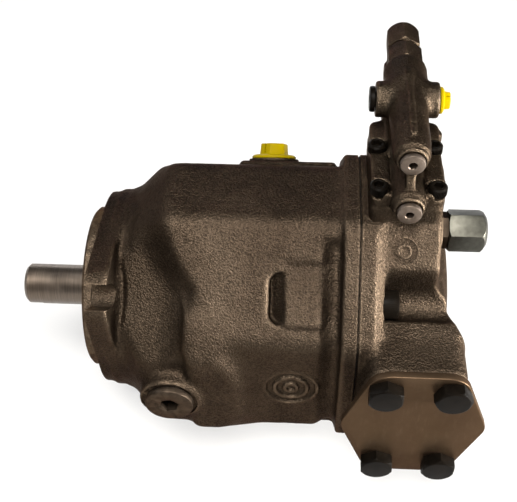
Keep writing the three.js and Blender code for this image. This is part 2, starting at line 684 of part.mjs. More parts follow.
add(pump, 'shaft_seal', spun([[-5, 15.3], [-5, 22.7], [4.4, 22.7], [4.4, 20], [-2, 18], [4.4, 15.3]], 24, true),
  look.blackRubber);
add(pump, 'front_bearing', bearing(15.3, 31, 10.5, 30), look.steel);
add(pump, 'rear_bearing', bearing(12.3, 23, 151.9, 169), look.steel);
add(pump, 'valve_plate', valvePlate(), look.bronze);
add(pump, 'swash_plate', swashPlate(), look.steel, [pivotX, 0, 0]);
add(pump, 'cradle_bearing_left', moved(cradleBearing(), new THREE.Matrix4().makeScale(1, -1, 1)), look.steel,
  [pivotX, 0, 0]);
add(pump, 'cradle_bearing_right', cradleBearing(), look.steel, [pivotX, 0, 0]);
add(pump, 'control_piston', controlPiston(), look.steel, [pivotX + swash.face + GAP, 0, control.offset]);
add(pump, 'return_piston', returnPiston(), look.steel, [pivotX + swash.face + 1.5 * GAP, 0, -control.offset]);
add(pump, 'return_spring', coil(7.2, 1.3, pivotX + swash.face + 38.9, 175.5, 8), look.springSteel,
  [0, 0, -control.offset]);

const valveGroup = group(pump, [valve.x, 0, 0]);
const spoolStart = -10.5;
const spoolLength = 44;
const springStart = spoolStart + spoolLength + 2 * GAP;
add(pump, 'valve_body', valveBody(), look.valveIron);
for (const [name, z, end] of [['flow', valve.lowerZ, valve.lowerFront], ['pressure', valve.upperZ, valve.upperFront]]) {
  add(valveGroup, `${name}_spool_plug`, socketScrew(5, 6.6, 3, 6, 5), look.steel, [0, end - GAP, z], TO_MINUS_Y);
  add(valveGroup, `${name}_spool`, spoolBody(), look.steel, [0, spoolStart, z], TO_PLUS_Y);
  add(valveGroup, `${name}_spring`, coil(5, 0.9, 0, 16, 3), look.springSteel, [0, springStart, z], TO_PLUS_Y);
  add(valveGroup, `${name}_adjuster`, adjuster(7), look.valveIron, [0, valve.tail + GAP, z], TO_PLUS_Y);
}
const pilotPort = group(valveGroup, [0, valve.portY, valve.portZ]);
add(pilotPort, 'pilot_port_plug', mouldedPlug(4.2, 8.2, 10, 6.5, 8), look.yellowPlastic,
  [valve.portHalfX + GAP, 0, 0]);
add(pilotPort, 'side_port_plug', socketScrew(4.2, 7.2, 3, 8, 4), look.blackBolt, [-valve.portHalfX - GAP, 0, 0],
  [0, Math.PI, 0]);

export default pump;
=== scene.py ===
"""Looks of a variable axial piston pump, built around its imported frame.

Lengths are in millimetres in the frame's own axes: X along the shaft, Z to the control valve, -Y to the
suction cover. A piece is turned into metres when its mesh is made. Only the lights are placed in metres.
"""

import json
import math

import bmesh
import bpy
import numpy as np
import openvdb
from mathutils import Matrix, Vector


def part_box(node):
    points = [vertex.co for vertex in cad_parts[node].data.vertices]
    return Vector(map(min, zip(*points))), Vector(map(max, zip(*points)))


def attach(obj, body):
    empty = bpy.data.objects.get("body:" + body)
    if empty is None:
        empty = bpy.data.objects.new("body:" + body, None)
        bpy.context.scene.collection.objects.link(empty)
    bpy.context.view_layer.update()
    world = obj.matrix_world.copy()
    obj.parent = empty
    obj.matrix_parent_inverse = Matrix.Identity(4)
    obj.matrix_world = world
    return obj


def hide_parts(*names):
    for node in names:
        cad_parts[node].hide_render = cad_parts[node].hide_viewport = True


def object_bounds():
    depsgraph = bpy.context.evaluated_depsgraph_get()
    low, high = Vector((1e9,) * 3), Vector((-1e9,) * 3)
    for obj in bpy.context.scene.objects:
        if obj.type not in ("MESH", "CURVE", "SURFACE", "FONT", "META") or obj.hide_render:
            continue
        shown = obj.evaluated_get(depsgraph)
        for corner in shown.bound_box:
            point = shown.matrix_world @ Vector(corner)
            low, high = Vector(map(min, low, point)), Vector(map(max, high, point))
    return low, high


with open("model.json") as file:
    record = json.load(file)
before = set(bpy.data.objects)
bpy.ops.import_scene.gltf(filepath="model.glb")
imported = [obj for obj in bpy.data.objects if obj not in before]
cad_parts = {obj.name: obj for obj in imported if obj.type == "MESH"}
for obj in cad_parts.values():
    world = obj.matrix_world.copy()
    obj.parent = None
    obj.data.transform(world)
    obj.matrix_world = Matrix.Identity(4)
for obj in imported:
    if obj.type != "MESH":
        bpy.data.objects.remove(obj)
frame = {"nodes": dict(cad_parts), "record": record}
CAD_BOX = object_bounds()

MM = 0.001
ROOT2 = math.sqrt(2)
CASING = "casing"


def box_mm(node):
    """Lowest and highest corner of a CAD node, in millimetres."""
    low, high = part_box(node)
    return low / MM, high / MM


def centre(node, *axes):
    """The middle of a CAD node along the named axes, in millimetres."""
    low, high = box_mm(node)
    return [(getattr(low, a) + getattr(high, a)) / 2 for a in axes]


# ---------- places read from the frame

PLATE = box_mm("port_plate")
VALVE = box_mm("valve_body")
SUCTION = box_mm("suction_cover")
SHAFT = box_mm("drive_shaft")
JOINT_X = box_mm("housing")[1].x
PLATE_FRONT = PLATE[0].x
SUCTION_FACE = -PLATE[0].y
PRESSURE_FACE = PLATE[1].y
SEAT_TOP = PLATE[1].z
[PORT_X] = centre("suction_cover", "x")
VALVE_X, FLOW_Z = centre("flow_spool", "x", "z")
[PRESSURE_Z] = centre("pressure_spool", "z")
[CONTROL_Z] = centre("stroke_stop_screw", "z")
FLOW_START = VALVE[0].y  # front faces of the two spool barrels
PRESSURE_START = box_mm("pressure_spool_plug")[1].y - 6

# ---------- driving dimensions of the castings

SIDE, TOP, DIAGONAL = 74, 88, 80  # the body's flats, from the shaft's axis
RIM_SIDE, RIM_TOP, RIM_DIAGONAL = 78.5, 90, 84.5  # the joint rim's flats
RIM_START = 142
RIDGE, RIDGE_END = 163.5, 165.3  # seat of the body bolts, and the rear of the ridge round them
CORE_DIAGONAL = 61.8  # the port plate's flats between the ports
SEAT_REAR = 195.5
FLANGE, FLANGE_RADIUS = 12.5, 60
EAR_RADIUS, EAR_REACH = 19, 67
SLOT_RADIUS, SLOT_REACH = 7.15, 70
SPIGOT, SPIGOT_END = 50, -9.5
SEAL_BORE, FRONT_BEARING, ROOM = 23, 31.4, 52  # radii of the housing's bores
CRADLE, CRADLE_X = 40.9, 72
BOLT_REACH, BOLT_HOLE, BOLT_HEAD = 70, 5.3, 8
DRAIN_X, DRAIN_Z, DRAIN_FACE = 45, -4, 82.2
LEAK_X, LEAK_FACE, LEAK_BOSS = 100, 82.6, 15.5
MARK_X, MARK_RADIUS = 115, 16.5
SUCTION_BORE, SUCTION_CORE, PRESSURE_BORE = 19, 12.5, 12.5
COVER_HOLE = 6.3
STOP_HOLE = 4.3
PRESSED_PLUG, PRESSED_FACE = (175, 30 / ROOT2, 30 / ROOT2), DIAGONAL + 0.2
FOOT_TOP = 110.3
SIDE_PORT_Y, SIDE_PORT_Z = 33, 128  # the valve's two side ports
VALVE_SCREWS = [(x, y) for y in (-18.8, 14.2) for x in (159.3, 190.7)]
BOLT_PLACES = [(0, sy * BOLT_REACH / ROOT2, sz * BOLT_REACH / ROOT2)
               for sy, sz in ((-1, 1), (1, 1), (1, -1), (-1, -1))]

Y_AXIS, Z_AXIS = (0, 1, 0), (0, 0, 1)
LEAK_AXIS, PRESSED_AXIS = (0, 1, 1), (0, -1, 1)
FAR = 300  # past every piece, for cutting blocks
BAND = 20.0  # distances further than this from a surface are cut off


# ---------- mesh tools

def new_object(name, mesh):
    piece = bpy.data.objects.new(name, mesh)
    bpy.context.scene.collection.objects.link(piece)
    return piece


def closed_piece(name, vertices, faces):
    """A closed piece from corners in millimetres, with all its faces turned outward."""
    mesh = bpy.data.meshes.new(name)
    mesh.from_pydata([tuple(c * MM for c in v) for v in vertices], [], faces)
    mesh.validate()
    work = bmesh.new()
    work.from_mesh(mesh)
    bmesh.ops.recalc_face_normals(work, faces=work.faces)
    if work.calc_volume(signed=True) < 0:
        bmesh.ops.reverse_faces(work, faces=work.faces)
    work.to_mesh(mesh)
    work.free()
    return new_object(name, mesh)


def axis_frame(axis):
    """The matrix that carries +X to the given axis."""
    return Vector((1, 0, 0)).rotation_difference(Vector(axis).normalized()).to_matrix().to_4x4()


def moved(piece, at=(0, 0, 0), axis=(1, 0, 0), turn=0.0):
    """Carries a piece that was made along +X at the origin to its place."""
    place = Matrix.Translation(Vector(at) * MM) @ axis_frame(axis) @ Matrix.Rotation(turn, 4, "X")
    piece.data.transform(place)
    return piece


def lathe(name, profile, steps=64, loop=False):
    """A solid of revolution about X from (x, radius) points: a closed loop, or open from axis to axis."""
    vertices, rows = [], []
    for x, radius in profile:
        corners = steps if radius else 1
        rows.append(range(len(vertices), len(vertices) + corners))
        for k in range(corners):
            angle = 2 * math.pi * k / steps
            vertices.append((x, radius * math.cos(angle), radius * math.sin(angle)))
    faces = []
    pairs = list(zip(rows, rows[1:])) + ([(rows[-1], rows[0])] if loop else [])
    for a, b in pairs:
        for k in range(steps):
            n = (k + 1) % steps
            face = dict.fromkeys([a[k % len(a)], a[n % len(a)], b[n % len(b)], b[k % len(b)]])
            if len(face) > 2:
                faces.append(list(face))
    return closed_piece(name, vertices, faces)


def cylinder(radius, start, end, at=(0, 0, 0), axis=(1, 0, 0), steps=48):
    """A round cutting tool."""
    return moved(lathe("tool", [(start, 0), (start, radius), (end, radius), (end, 0)], steps), at, axis)


def loft(name, low, high):
    """A closed solid between two outlines with the same number of corners."""
    n = len(low)
    faces = [list(range(n)), list(range(2 * n - 1, n - 1, -1))]
    faces += [[k, k + n, (k + 1) % n + n, (k + 1) % n] for k in range(n)]
    return closed_piece(name, low + high, faces)


def prism(name, outline, low, high, plane="YZ"):
    """An outline of (first, second) points raised along the third axis."""
    place = {
        "YZ": lambda a, b, c: (c, a, b),
        "XZ": lambda a, b, c: (a, c, b),
        "XY": lambda a, b, c: (a, b, c),
    }[plane]
    return loft(name, [place(a, b, low) for a, b in outline], [place(a, b, high) for a, b in outline])


def rectangle(x0, x1, y0, y1):
    return [(x0, y0), (x1, y0), (x1, y1), (x0, y1)]


def block(low, high):
    """A rectangular cutting tool."""
    return prism("tool", rectangle(low[0], high[0], low[1], high[1]), low[2], high[2], "XY")


def beyond(axis, limit, side=1):
    """A cutting tool for all that lies past a plane, on its upper or its lower side."""
    low, high = [-FAR] * 3, [FAR] * 3
    (low if side > 0 else high)["xyz".index(axis)] = limit
    return block(low, high)


def polygon(sides, across, turn=0.0):
    """The corners of a regular outline, from the distance across its flats."""
    corner = across / 2 / math.cos(math.pi / sides)
    angles = [turn + 2 * math.pi * k / sides for k in range(sides)]
    return [(corner * math.cos(a), corner * math.sin(a)) for a in angles]


def rounded(corners, radius, steps=8):
    """A closed outline through the corners, each rounded by an arc."""
    points = []
    for i, corner in enumerate(corners):
        here = Vector(corner)
        before = (Vector(corners[i - 1]) - here).normalized()
        after = (Vector(corners[(i + 1) % len(corners)]) - here).normalized()
        half = before.angle(after) / 2
        middle = here + (before + after).normalized() * radius / math.sin(half)
        start = here + before * radius / math.tan(half) - middle
        turn = math.copysign(math.pi - 2 * half, before.angle_signed(after))
        for k in range(steps + 1):
            spoke = start.copy()
            spoke.rotate(Matrix.Rotation(turn * k / steps, 2))
            points.append(tuple(middle + spoke))
    return points


def applied(piece):
    """Turns a piece's modifiers into its mesh."""
    result = bpy.data.meshes.new_from_object(piece.evaluated_get(bpy.context.evaluated_depsgraph_get()))
    piece.modifiers.clear()
    old = piece.data
    piece.data = result
    bpy.data.meshes.remove(old)
    return piece


def combine(piece, tools, operation="DIFFERENCE"):
    """Cuts or joins a closed piece with others, and removes them."""
    for tool in tools:
        modifier = piece.modifiers.new("combine", "BOOLEAN")
        modifier.operation = operation
        modifier.solver = "MANIFOLD"
        modifier.object = tool
    applied(piece)
    for tool in tools:
        bpy.data.objects.remove(tool)
    return piece


def bevelled(piece, width, segments=2, angle=30):
    """Rounds the sharp edges of a crisp piece."""
    modifier = piece.modifiers.new("bevel", "BEVEL")
    modifier.width = width * MM
    modifier.segments = segments
    modifier.limit_method = "ANGLE"
    modifier.angle_limit = math.radians(angle)
    modifier.use_clamp_overlap = True
    return applied(piece)


def fit(piece, material, slot, *nodes, body=CASING):
    """Gives a finished piece its shading and its material, hangs it under its body's empty, and hides the CAD
    nodes that it stands for.
    """
    piece.data.shade_smooth()
    piece.data.set_sharp_from_angle(angle=math.radians(35))
    piece.data.materials.clear()
    piece.data.materials.append(material)
    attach(piece, body)
    if nodes:
        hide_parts(*nodes)


# ---------- cast shapes as distance fields

class Field:
    """A grid of points on which solids are distances in millimetres, negative inside."""

    def __init__(self, low, high, voxel):
        self.low, self.voxel = low, voxel
        spans = [np.arange(a, b + voxel, voxel, dtype=np.float32) for a, b in zip(low, high)]
        self.shape = tuple(len(span) for span in spans)
        self.x = spans[0][:, None, None]
        self.y = spans[1][None, :, None]
        self.z = spans[2][None, None, :]

    def waves(self, pitch, seed):
        """Slow random unevenness between -1 and 1, as a sand mould leaves."""
        counts = [int(n * self.voxel / pitch) + 3 for n in self.shape]
        values = np.random.default_rng(seed).uniform(-1, 1, counts).astype(np.float32)
        for axis, n in enumerate(self.shape):
            places = np.arange(n) * self.voxel / pitch
            cell = places.astype(int)
            part = places - cell
            part = part * part * (3 - 2 * part)
            shaped = [1, 1, 1]
            shaped[axis] = n
            part = part.reshape(shaped).astype(np.float32)
            values = np.take(values, cell, axis) * (1 - part) + np.take(values, cell + 1, axis) * part
        return values

    def piece(self, name, distance):
        """The surface where the distance is zero, as a closed mesh."""
        values = np.broadcast_to(distance, self.shape).astype(np.float32)
        grid = openvdb.FloatGrid(background=BAND)
        grid.copyFromArray(np.ascontiguousarray(np.clip(values, -BAND, BAND)))
        points, quads = grid.convertToQuads(isovalue=0.0)
        points = points * self.voxel + np.array(self.low)
        return closed_piece(name, points.tolist(), quads.tolist())


def union(a, b, fillet=0.0):
    """Both solids, with a fillet along the inner corner."""
    if not fillet:
        return np.minimum(a, b)
    blend = np.maximum(fillet - np.abs(a - b), 0) / fillet
    return np.minimum(a, b) - blend * blend * fillet / 4


def common(a, b, rounding=0.0):
    """What lies in both solids, with its outer corner rounded."""
    return -union(-a, -b, rounding)


def without(a, b, rounding=0.0):
    """The first solid less the second."""
    return common(a, -b, rounding)


def slab(c, low, high):
    """What lies between two planes."""
    return np.maximum(low - c, c - high)


def rod(a, b, radius, a0=0.0, b0=0.0):
    """An endless round bar across the plane of a and b."""
    return np.sqrt((a - a0) ** 2 + (b - b0) ** 2) - radius


def toward_diagonals(y, z):
    """Distance from the shaft towards the four diagonals."""
    return (np.abs(y) + np.abs(z)) / ROOT2


def octagon(y, z, side, top, diagonal, rounding):
    """Eight flats about X, with rounded corners beside the diagonal ones."""
    straight = common(np.abs(y) - side, np.abs(z) - top)
    return common(straight, toward_diagonals(y, z) - diagonal, rounding)


# ---------- housing

def flange_outline(y, z):
    """A disc with two ears on the diagonal that has the bolt slots."""
    along = np.abs(z - y) / ROOT2
    across = np.abs(z + y) / ROOT2
    lean = (FLANGE_RADIUS - EAR_RADIUS) / EAR_REACH
    rise = math.sqrt(1 - lean * lean)
    side = -lean * across + rise * along
    disc = rod(along, across, FLANGE_RADIUS)
    tip = rod(along, across, EAR_RADIUS, EAR_REACH)
    tangent = rise * across + lean * along - FLANGE_RADIUS
    return np.where(side < 0, disc, np.where(side > rise * EAR_REACH, tip, tangent))


def housing_barrel(x, y, z):
    """The octagonal body, narrowed towards the flange, with the hollows of its eared diagonals."""
    section = octagon(y, z, SIDE, TOP, DIAGONAL, 4.2)
    neck = np.interp(x, [9, 12, 20, 38, 45, 60], [60, 60, 66, 84, 96, 124])
    steep = np.sqrt(1 + np.gradient(neck, x.ravel(), axis=0) ** 2)
    barrel = common(section, (np.sqrt(y ** 2 + z ** 2) - neck) / steep, 6)
    barrel = common(barrel, slab(x, FLANGE - 4, JOINT_X + 3))
    barrel = common(barrel, (y + z) / ROOT2 - DIAGONAL + 2.5, 5)
    for side in (1, -1):
        face = side * (z - y) / ROOT2  # height over the shaft on the diagonal that has the ears
        across = side * (z + y) / ROOT2
        barrel = common(barrel, bolt_room(x, face, across), 2.5)
        barrel = without(barrel, oblong_recess(x, face, across), 3)
        barrel = tilted_field(barrel, x, face, across)
        groove = common(rod(x, section, 7.5, 138.5, 3.7), np.maximum(across - 34, 12 - face), 5)
        barrel = without(barrel, groove, 4.5)
    return barrel


def bolt_room(x, face, across):
    """The ground beside an ear and the slope behind it, which leave room for the mounting bolt."""
    slope_end = np.interp(across, [-60, -39, -20, -5, 5, 12, 20, 30, 46, 60],
                          [61, 60, 59, 61, 62, 58, 53, 48, 43, 38])
    lip = 20 - 6 * (across / 30) ** 2
    ground = 59 + 3 * np.clip((x - lip) / 2.5 + 1, 0, 1) + np.maximum(x - 20, 0) * 0.17
    limit = common(ground, DIAGONAL + 0.4 - (slope_end - x) * 0.95, 6)
    return (face - limit) * 0.74


def oblong_recess(x, face, across):
    """A slot with round ends, whose floor rises towards the rim."""
    reach = np.maximum(np.abs(across - 2) - 8, 0)
    floor = (DIAGONAL - 8.5 + (x - 102) * 0.8 - face) * 0.78
    return common(rod(x, reach, 6.0, 107.8), floor, 2)


def tilted_field(barrel, x, face, across):
    """A field between recess and rim, proud at one side and sunk at the other."""
    tilted = DIAGONAL + np.interp(across, [-13, 22], [1.5, -2.6])
    outline = common(slab(x, 111, 138), slab(across, -13, 21), 5)
    barrel = without(barrel, common(outline, tilted - face, 1), 5)
    return union(barrel, common(common(outline, face - tilted, 2), 60 - face), 4)


def drain_foot(x, y, z):
    """The broad low foot beside the drain plug, with sloping sides."""
    left, right, lower, upper = 55, 84, -34, 50
    top = 0.6 - DRAIN_FACE
    slant = 0.833 * x + 0.555 * z - 78
    foot = common(common(x - right, lower - z, 18), slant, 6)
    foot = common((foot - (y - top) * 1.05) / 1.45, top - y, 2.5)
    foot = common(foot, np.maximum(left - x, z - upper), 8)
    foot = common(foot, (z - y) / ROOT2 - DIAGONAL - 0.4, 4)
    return common(foot, y + 50)


def with_leak_pad(shape, x, y, z):
    """Adds the raised field of the leakage port and the round boss on it."""
    along, across = (z + y) / ROOT2, (z - y) / ROOT2
    pad = common(slab(x, 80, 138), slab(across, -19, 19), 4)
    shape = union(shape, common(pad, slab(along, 50, LEAK_FACE - 1.8), 2), 4)
    boss = rod(x, across, LEAK_BOSS, LEAK_X)
    return union(shape, common(boss, slab(along, 50, LEAK_FACE + 1), 1), 1)


def with_plain_rings(shape, x, y, z):
    """Adds a shallow round sinking with plain rings on the -Y face."""
    sinking = common(rod(x, z, MARK_RADIUS, MARK_X), slab(y, -SIDE - 3, 1.3 - SIDE), 0.6)
    shape = without(shape, sinking, 0.6)
    for radius in (15.4, 9.5, 3.5):
        ring = np.abs(rod(x, z, radius, MARK_X)) - 1.15
        shape = union(shape, common(ring, slab(y, -SIDE - 0.4, -60), 0.8), 0.6)
    return shape


def housing_casting():
    f = Field((-4, -89, -92), (154, 89, 94), 1.15)
    x, y, z = f.x, f.y, f.z
    shape = common(flange_outline(y, z), slab(x, -2, FLANGE), 2.0)
    shape = union(shape, housing_barrel(x, y, z), 7)
    rim = octagon(y, z, RIM_SIDE, RIM_TOP, RIM_DIAGONAL, 4.8)
    rim = common(rim, slab(x, RIM_START, JOINT_X + 3), 2.5)
    shape = union(shape, common(rim, -TOP - z, 1), 4)
    drain = rod(x, z, 17.5, DRAIN_X, DRAIN_Z)
    shape = union(shape, common(drain, slab(y, -DRAIN_FACE - 1, -50), 2), 5)
    shape = union(shape, drain_foot(x, y, z), 5)
    shape = with_leak_pad(shape, x, y, z)
    shape = with_plain_rings(shape, x, y, z)
    shape = shape + 0.14 * f.waves(9, 11) + 0.1 * f.waves(3.6, 12)
    return f.piece("housing_casting", shape)


def rim_outline(inset):
    """The outline of the joint rim, moved inwards."""
    side, top, diagonal = RIM_SIDE - inset, RIM_TOP - inset, RIM_DIAGONAL - inset
    run_side, run_top = diagonal * ROOT2 - side, diagonal * ROOT2 - top
    corners = [(side, run_side), (run_top, top), (-run_top, top), (-side, run_side), (-side, -run_side),
               (-run_top, inset - TOP), (run_top, inset - TOP), (side, -run_side)]
    return rounded(corners, 12)


def joint_groove():
    """A thin frame that takes the corner off both castings where they meet."""
    around = prism("tool", rim_outline(-20), JOINT_X - 0.6, PLATE_FRONT + 0.6)
    return combine(around, [prism("tool", rim_outline(2.2), JOINT_X - 3, PLATE_FRONT + 3)])


def ear_slots():
    """The two open bolt slots of the flange."""
    start, end = -5, FLANGE + 9.5
    tools = []
    for side in (1, -1):
        at = (0, -side * SLOT_REACH / ROOT2, side * SLOT_REACH / ROOT2)
        tools.append(cylinder(SLOT_RADIUS, start, end, at))
        low, high = sorted((side * SLOT_REACH, side * (SLOT_REACH + 40)))
        way_out = block((start, -SLOT_RADIUS, low), (end, SLOT_RADIUS, high))
        way_out.data.transform(Matrix.Rotation(math.pi / 4, 4, "X"))
        tools.append(way_out)
    return tools


def make_housing():
    piece = housing_casting()
    relief = SPIGOT - 1.2
    spigot = lathe("spigot", [(SPIGOT_END, 0), (SPIGOT_END, SPIGOT - 1.5), (SPIGOT_END + 1.5, SPIGOT),
                              (-3.4, SPIGOT), (-3.4, relief), (-0.8, relief), (-0.8, SPIGOT - 0.4),
                              (0, SPIGOT - 0.4), (6, SPIGOT - 6), (6, 0)], 128)
    combine(piece, [beyond("x", 0, -1), beyond("x", JOINT_X), beyond("z", -TOP, -1)])
    combine(piece, [spigot], "UNION")
    mouth = SEAL_BORE + 1.5
    bores = [(-20, 0), (-20, mouth), (SPIGOT_END, mouth), (SPIGOT_END + 1.5, SEAL_BORE), (5, SEAL_BORE),
             (5, 17), (10, 17), (10, FRONT_BEARING), (40.5, FRONT_BEARING), (40.5, ROOM), (160, ROOM),
             (160, 0)]
    tools = [
        lathe("tool", bores, 96),
        cylinder(CRADLE, -47, 47, (CRADLE_X, 0, 0), Y_AXIS, 96),
        block((50, -13, -70), (160, 13, 70)),
        block((33, -13, -70), (CRADLE_X, 13, 0)),
        cylinder(11, -30, 40, (DRAIN_X, -DRAIN_FACE, DRAIN_Z), Y_AXIS),
        cylinder(16.4, -10, 1.0, (DRAIN_X, -DRAIN_FACE - 1, DRAIN_Z), Y_AXIS, 64),
        cylinder(9.2, 45, 100, (LEAK_X, 0, 0), LEAK_AXIS),
        cylinder(LEAK_BOSS, LEAK_FACE, 100, (LEAK_X, 0, 0), LEAK_AXIS, 64),
    ]
    tools += ear_slots()
    tools += [cylinder(BOLT_HOLE, JOINT_X - 26, JOINT_X + 5, at, steps=32) for at in BOLT_PLACES]
    tools.append(joint_groove())
    combine(piece, tools)
    fit(piece, CAST, "cast_iron", "housing")


# ---------- port plate

def joint_ridge(x, y, z):
    """The octagonal plate at the joint, chamfered at its rear edge."""
    ridge = octagon(y, z, RIM_SIDE, RIM_TOP, RIM_DIAGONAL, 4.2)
    ridge = common(ridge, slab(x, 148, RIDGE_END))
    chamfer = (toward_diagonals(y, z) - RIM_DIAGONAL + x - RIDGE_END + 5.2) / ROOT2
    return common(common(ridge, chamfer, 0.5), -TOP - z, 1)


def valve_seat_block(x, y, z):
    """The core between the ports, which widens upwards to the seat of the control valve."""
    part = np.clip(((z - np.abs(y)) / ROOT2 - 3) / 19, 0, 1)
    face = CORE_DIAGONAL + (DIAGONAL + 1.4 - CORE_DIAGONAL) * part * part * (3 - 2 * part)
    flats = np.maximum(np.abs(y) - 80, np.where(z > 0, z - SEAT_TOP - 1, -z - 80))
    core = common(flats, (toward_diagonals(y, z) - face) * 0.6, 3)
    return common(core, slab(x, 155, SEAT_REAR - 0.5), 2.5)


def port_bar(x, y, z):
    """The bar across the shaft that carries both ports, hexagonal at its ends under the covers."""
    rear = PORT_X + 30
    bar = common(slab(x, PORT_X - 32, rear), slab(z, -43, 43), 14)
    dx, dz = np.abs(x - PORT_X), np.abs(z)
    ends = common(dz - 45.5, (47 * dx + 17 * dz) / 50 - 37.6, 8)
    bar = common(bar, union(ends, np.abs(y) - 66, 5), 4)
    waist = np.interp(np.abs(y), [0, 46, 66, 99], [200, 200, rear, rear]).astype(np.float32)
    bar = common(bar, (x - waist) * 0.85, 5)
    return common(bar, np.maximum(-y - SUCTION_FACE, y - PRESSURE_FACE) - 0.5, 5)


def port_plate_casting():
    f = Field((148.5, -96, -91), (217, 88, 93), 1.0)
    x, y, z = f.x, f.y, f.z
    shape = union(valve_seat_block(x, y, z), port_bar(x, y, z), 16)
    hub = common(rod(y, z, 43), x - 205, 6)
    shape = union(shape, common(hub, 190 - x), 5)
    stop = common(rod(y, z, 13, 0, CONTROL_Z), slab(x, 190, 199.6), 1.5)
    shape = union(shape, stop, 4)
    shape = union(shape, joint_ridge(x, y, z), 3)
    for _, bolt_y, bolt_z in BOLT_PLACES:
        pocket = rod(y, z, BOLT_HEAD + 1.3, bolt_y, bolt_z)
        shape = without(shape, common(pocket, RIDGE - x), 1.2)
    shape = shape + 0.14 * f.waves(8, 21) + 0.1 * f.waves(3.4, 22)
    return f.piece("port_plate_casting", shape)


def make_port_plate():
    piece = port_plate_casting()
    rear = 260
    rear_bearing = [(140, 0), (140, 23.4), (172, 23.4), (172, 13), (178, 13), (178, 0)]
    stop_bore = [(140, 0), (140, 8.5), (186, 8.5), (186, STOP_HOLE), (rear, STOP_HOLE), (rear, 0)]
    tools = [
        beyond("x", PLATE_FRONT, -1),
        beyond("y", -SUCTION_FACE, -1),
        beyond("y", PRESSURE_FACE),
        beyond("z", -TOP, -1),
        block((151.9, -29.5, SEAT_TOP), (195.2, 29.5, 140)),
        cylinder(SUCTION_BORE, -SUCTION_FACE - 1, -62, (PORT_X, 0, 0), Y_AXIS, 64),
        cylinder(SUCTION_CORE, -63, -26, (PORT_X, 0, 0), Y_AXIS, 64),
        cylinder(PRESSURE_BORE, 26, PRESSURE_FACE + 1, (PORT_X, 0, 0), Y_AXIS, 64),
        block((148, -42, -20), (PORT_X, -27, 20)),
        block((148, 27, -17), (PORT_X, 42, 17)),
        lathe("tool", rear_bearing),
        moved(lathe("tool", stop_bore, 48), (0, 0, CONTROL_Z)),
        cylinder(10, 140, 176, (0, 0, -CONTROL_Z)),
        cylinder(11.5, 199, 240, (0, 0, CONTROL_Z), steps=64),
        joint_groove(),
    ]
    for at in BOLT_PLACES:
        tools.append(cylinder(BOLT_HOLE, 140, RIDGE + 3, at, steps=32))
        tools.append(cylinder(BOLT_HEAD + 0.9, RIDGE, rear, at))
    tools += cover_bolt_holes(-SUCTION_FACE - 1, -SUCTION_FACE + 30)
    combine(piece, tools)
    combine(piece, [cylinder(7.3, PRESSED_FACE, 120, PRESSED_PLUG, PRESSED_AXIS)])
    fit(piece, CAST, "cast_iron", "port_plate")


def cover_bolt_holes(start, end):
    """Cutting tools for the four bolts of the suction cover."""
    places = [centre(f"suction_cover_bolt_{i}", "x", "z") for i in range(1, 5)]
    return [cylinder(COVER_HOLE, start, end, (x, 0, z), Y_AXIS, 32) for x, z in places]


# ---------- control valve

def spool_barrel(x, y, z, height, start, radius):
    """A round barrel along Y with a collar at its front."""
    barrel = common(rod(x, z, 0, 0, height) - radius, slab(y, start + 2.2, VALVE[1].y), 3)
    collar = common(rod(x, z, 8.5, 0, height), slab(y, start, start + 8), 1.6)
    return union(barrel, collar, 0.8)


def valve_casting():
    low, high = VALVE
    f = Field((low.x - 2, low.y - 2, low.z - 4), (high.x + 2, high.y + 2, high.z + 2), 0.7)
    x, y, z = f.x - VALVE_X, f.y, f.z
    plan = common(slab(x, -19.5, 19.5), slab(y, -25, 36), 5)
    base = common(plan, slab(z, SEAT_TOP - 3, 100), 1.5)
    cheeks = common(common(plan, 9.4 - np.abs(x), 2), slab(z, SEAT_TOP - 3, FOOT_TOP), 1.6)
    lower = spool_barrel(x, y, z, FLOW_Z, FLOW_START, 9.5)
    swell = np.interp(y, [PRESSURE_START + 2, PRESSURE_START + 13], [9.6, 10.3]).astype(np.float32)
    upper = spool_barrel(x, y, z, PRESSURE_Z, PRESSURE_START, swell)
    crown = common(slab(x, -1.7, 2.1), slab(z, PRESSURE_Z, PRESSURE_Z + 11.4), 1.2)
    upper = union(upper, common(crown, slab(y, PRESSURE_START + 9, 44), 3), 0.8)
    web = common(slab(x, -2.4, 2.4), slab(z, FLOW_Z, PRESSURE_Z), 0.6)
    web_front = PRESSURE_START + 1 - (PRESSURE_Z - z) * 0.42
    web = common(web, np.maximum(web_front - y, y - high.y + 1), 0.8)
    body = common(slab(x, -9, 9), slab(z, SEAT_TOP, PRESSURE_Z), 2)
    body = common(body, slab(y, 8, high.y - 0.5), 6)
    shape = union(union(base, cheeks, 1.5), lower, 1.5)
    shape = union(union(shape, web, 1.4), body, 4)
    shape = union(shape, upper, 3)
    bosses = common(rod(y, z, 10, SIDE_PORT_Y, SIDE_PORT_Z), slab(x, -17.5, 17.5), 1.6)
    shape = union(shape, bosses, 4)
    tails = [common(rod(x, z, 11.4, 0, height), slab(y, 36, high.y), 5)
             for height in (PRESSURE_Z - 1, FLOW_Z + 1)]
    shape = union(shape, union(*tails, 6), 5)
    lug = common(rod(x, y, 3.6, 18.2, 29), slab(z, 95, FOOT_TOP - 2), 2)
    shape = union(shape, lug, 1.5)
    for screw_x, screw_y in VALVE_SCREWS:
        recess = common(rod(f.x, y, 6.1, screw_x, screw_y), FOOT_TOP - 4.2 - z)
        shape = without(shape, common(recess, slab(z, 80, FOOT_TOP + 8)), 0.8)
    shape = shape + 0.08 * f.waves(6, 31) + 0.05 * f.waves(2.6, 32)
    return f.piece("valve_casting", shape)


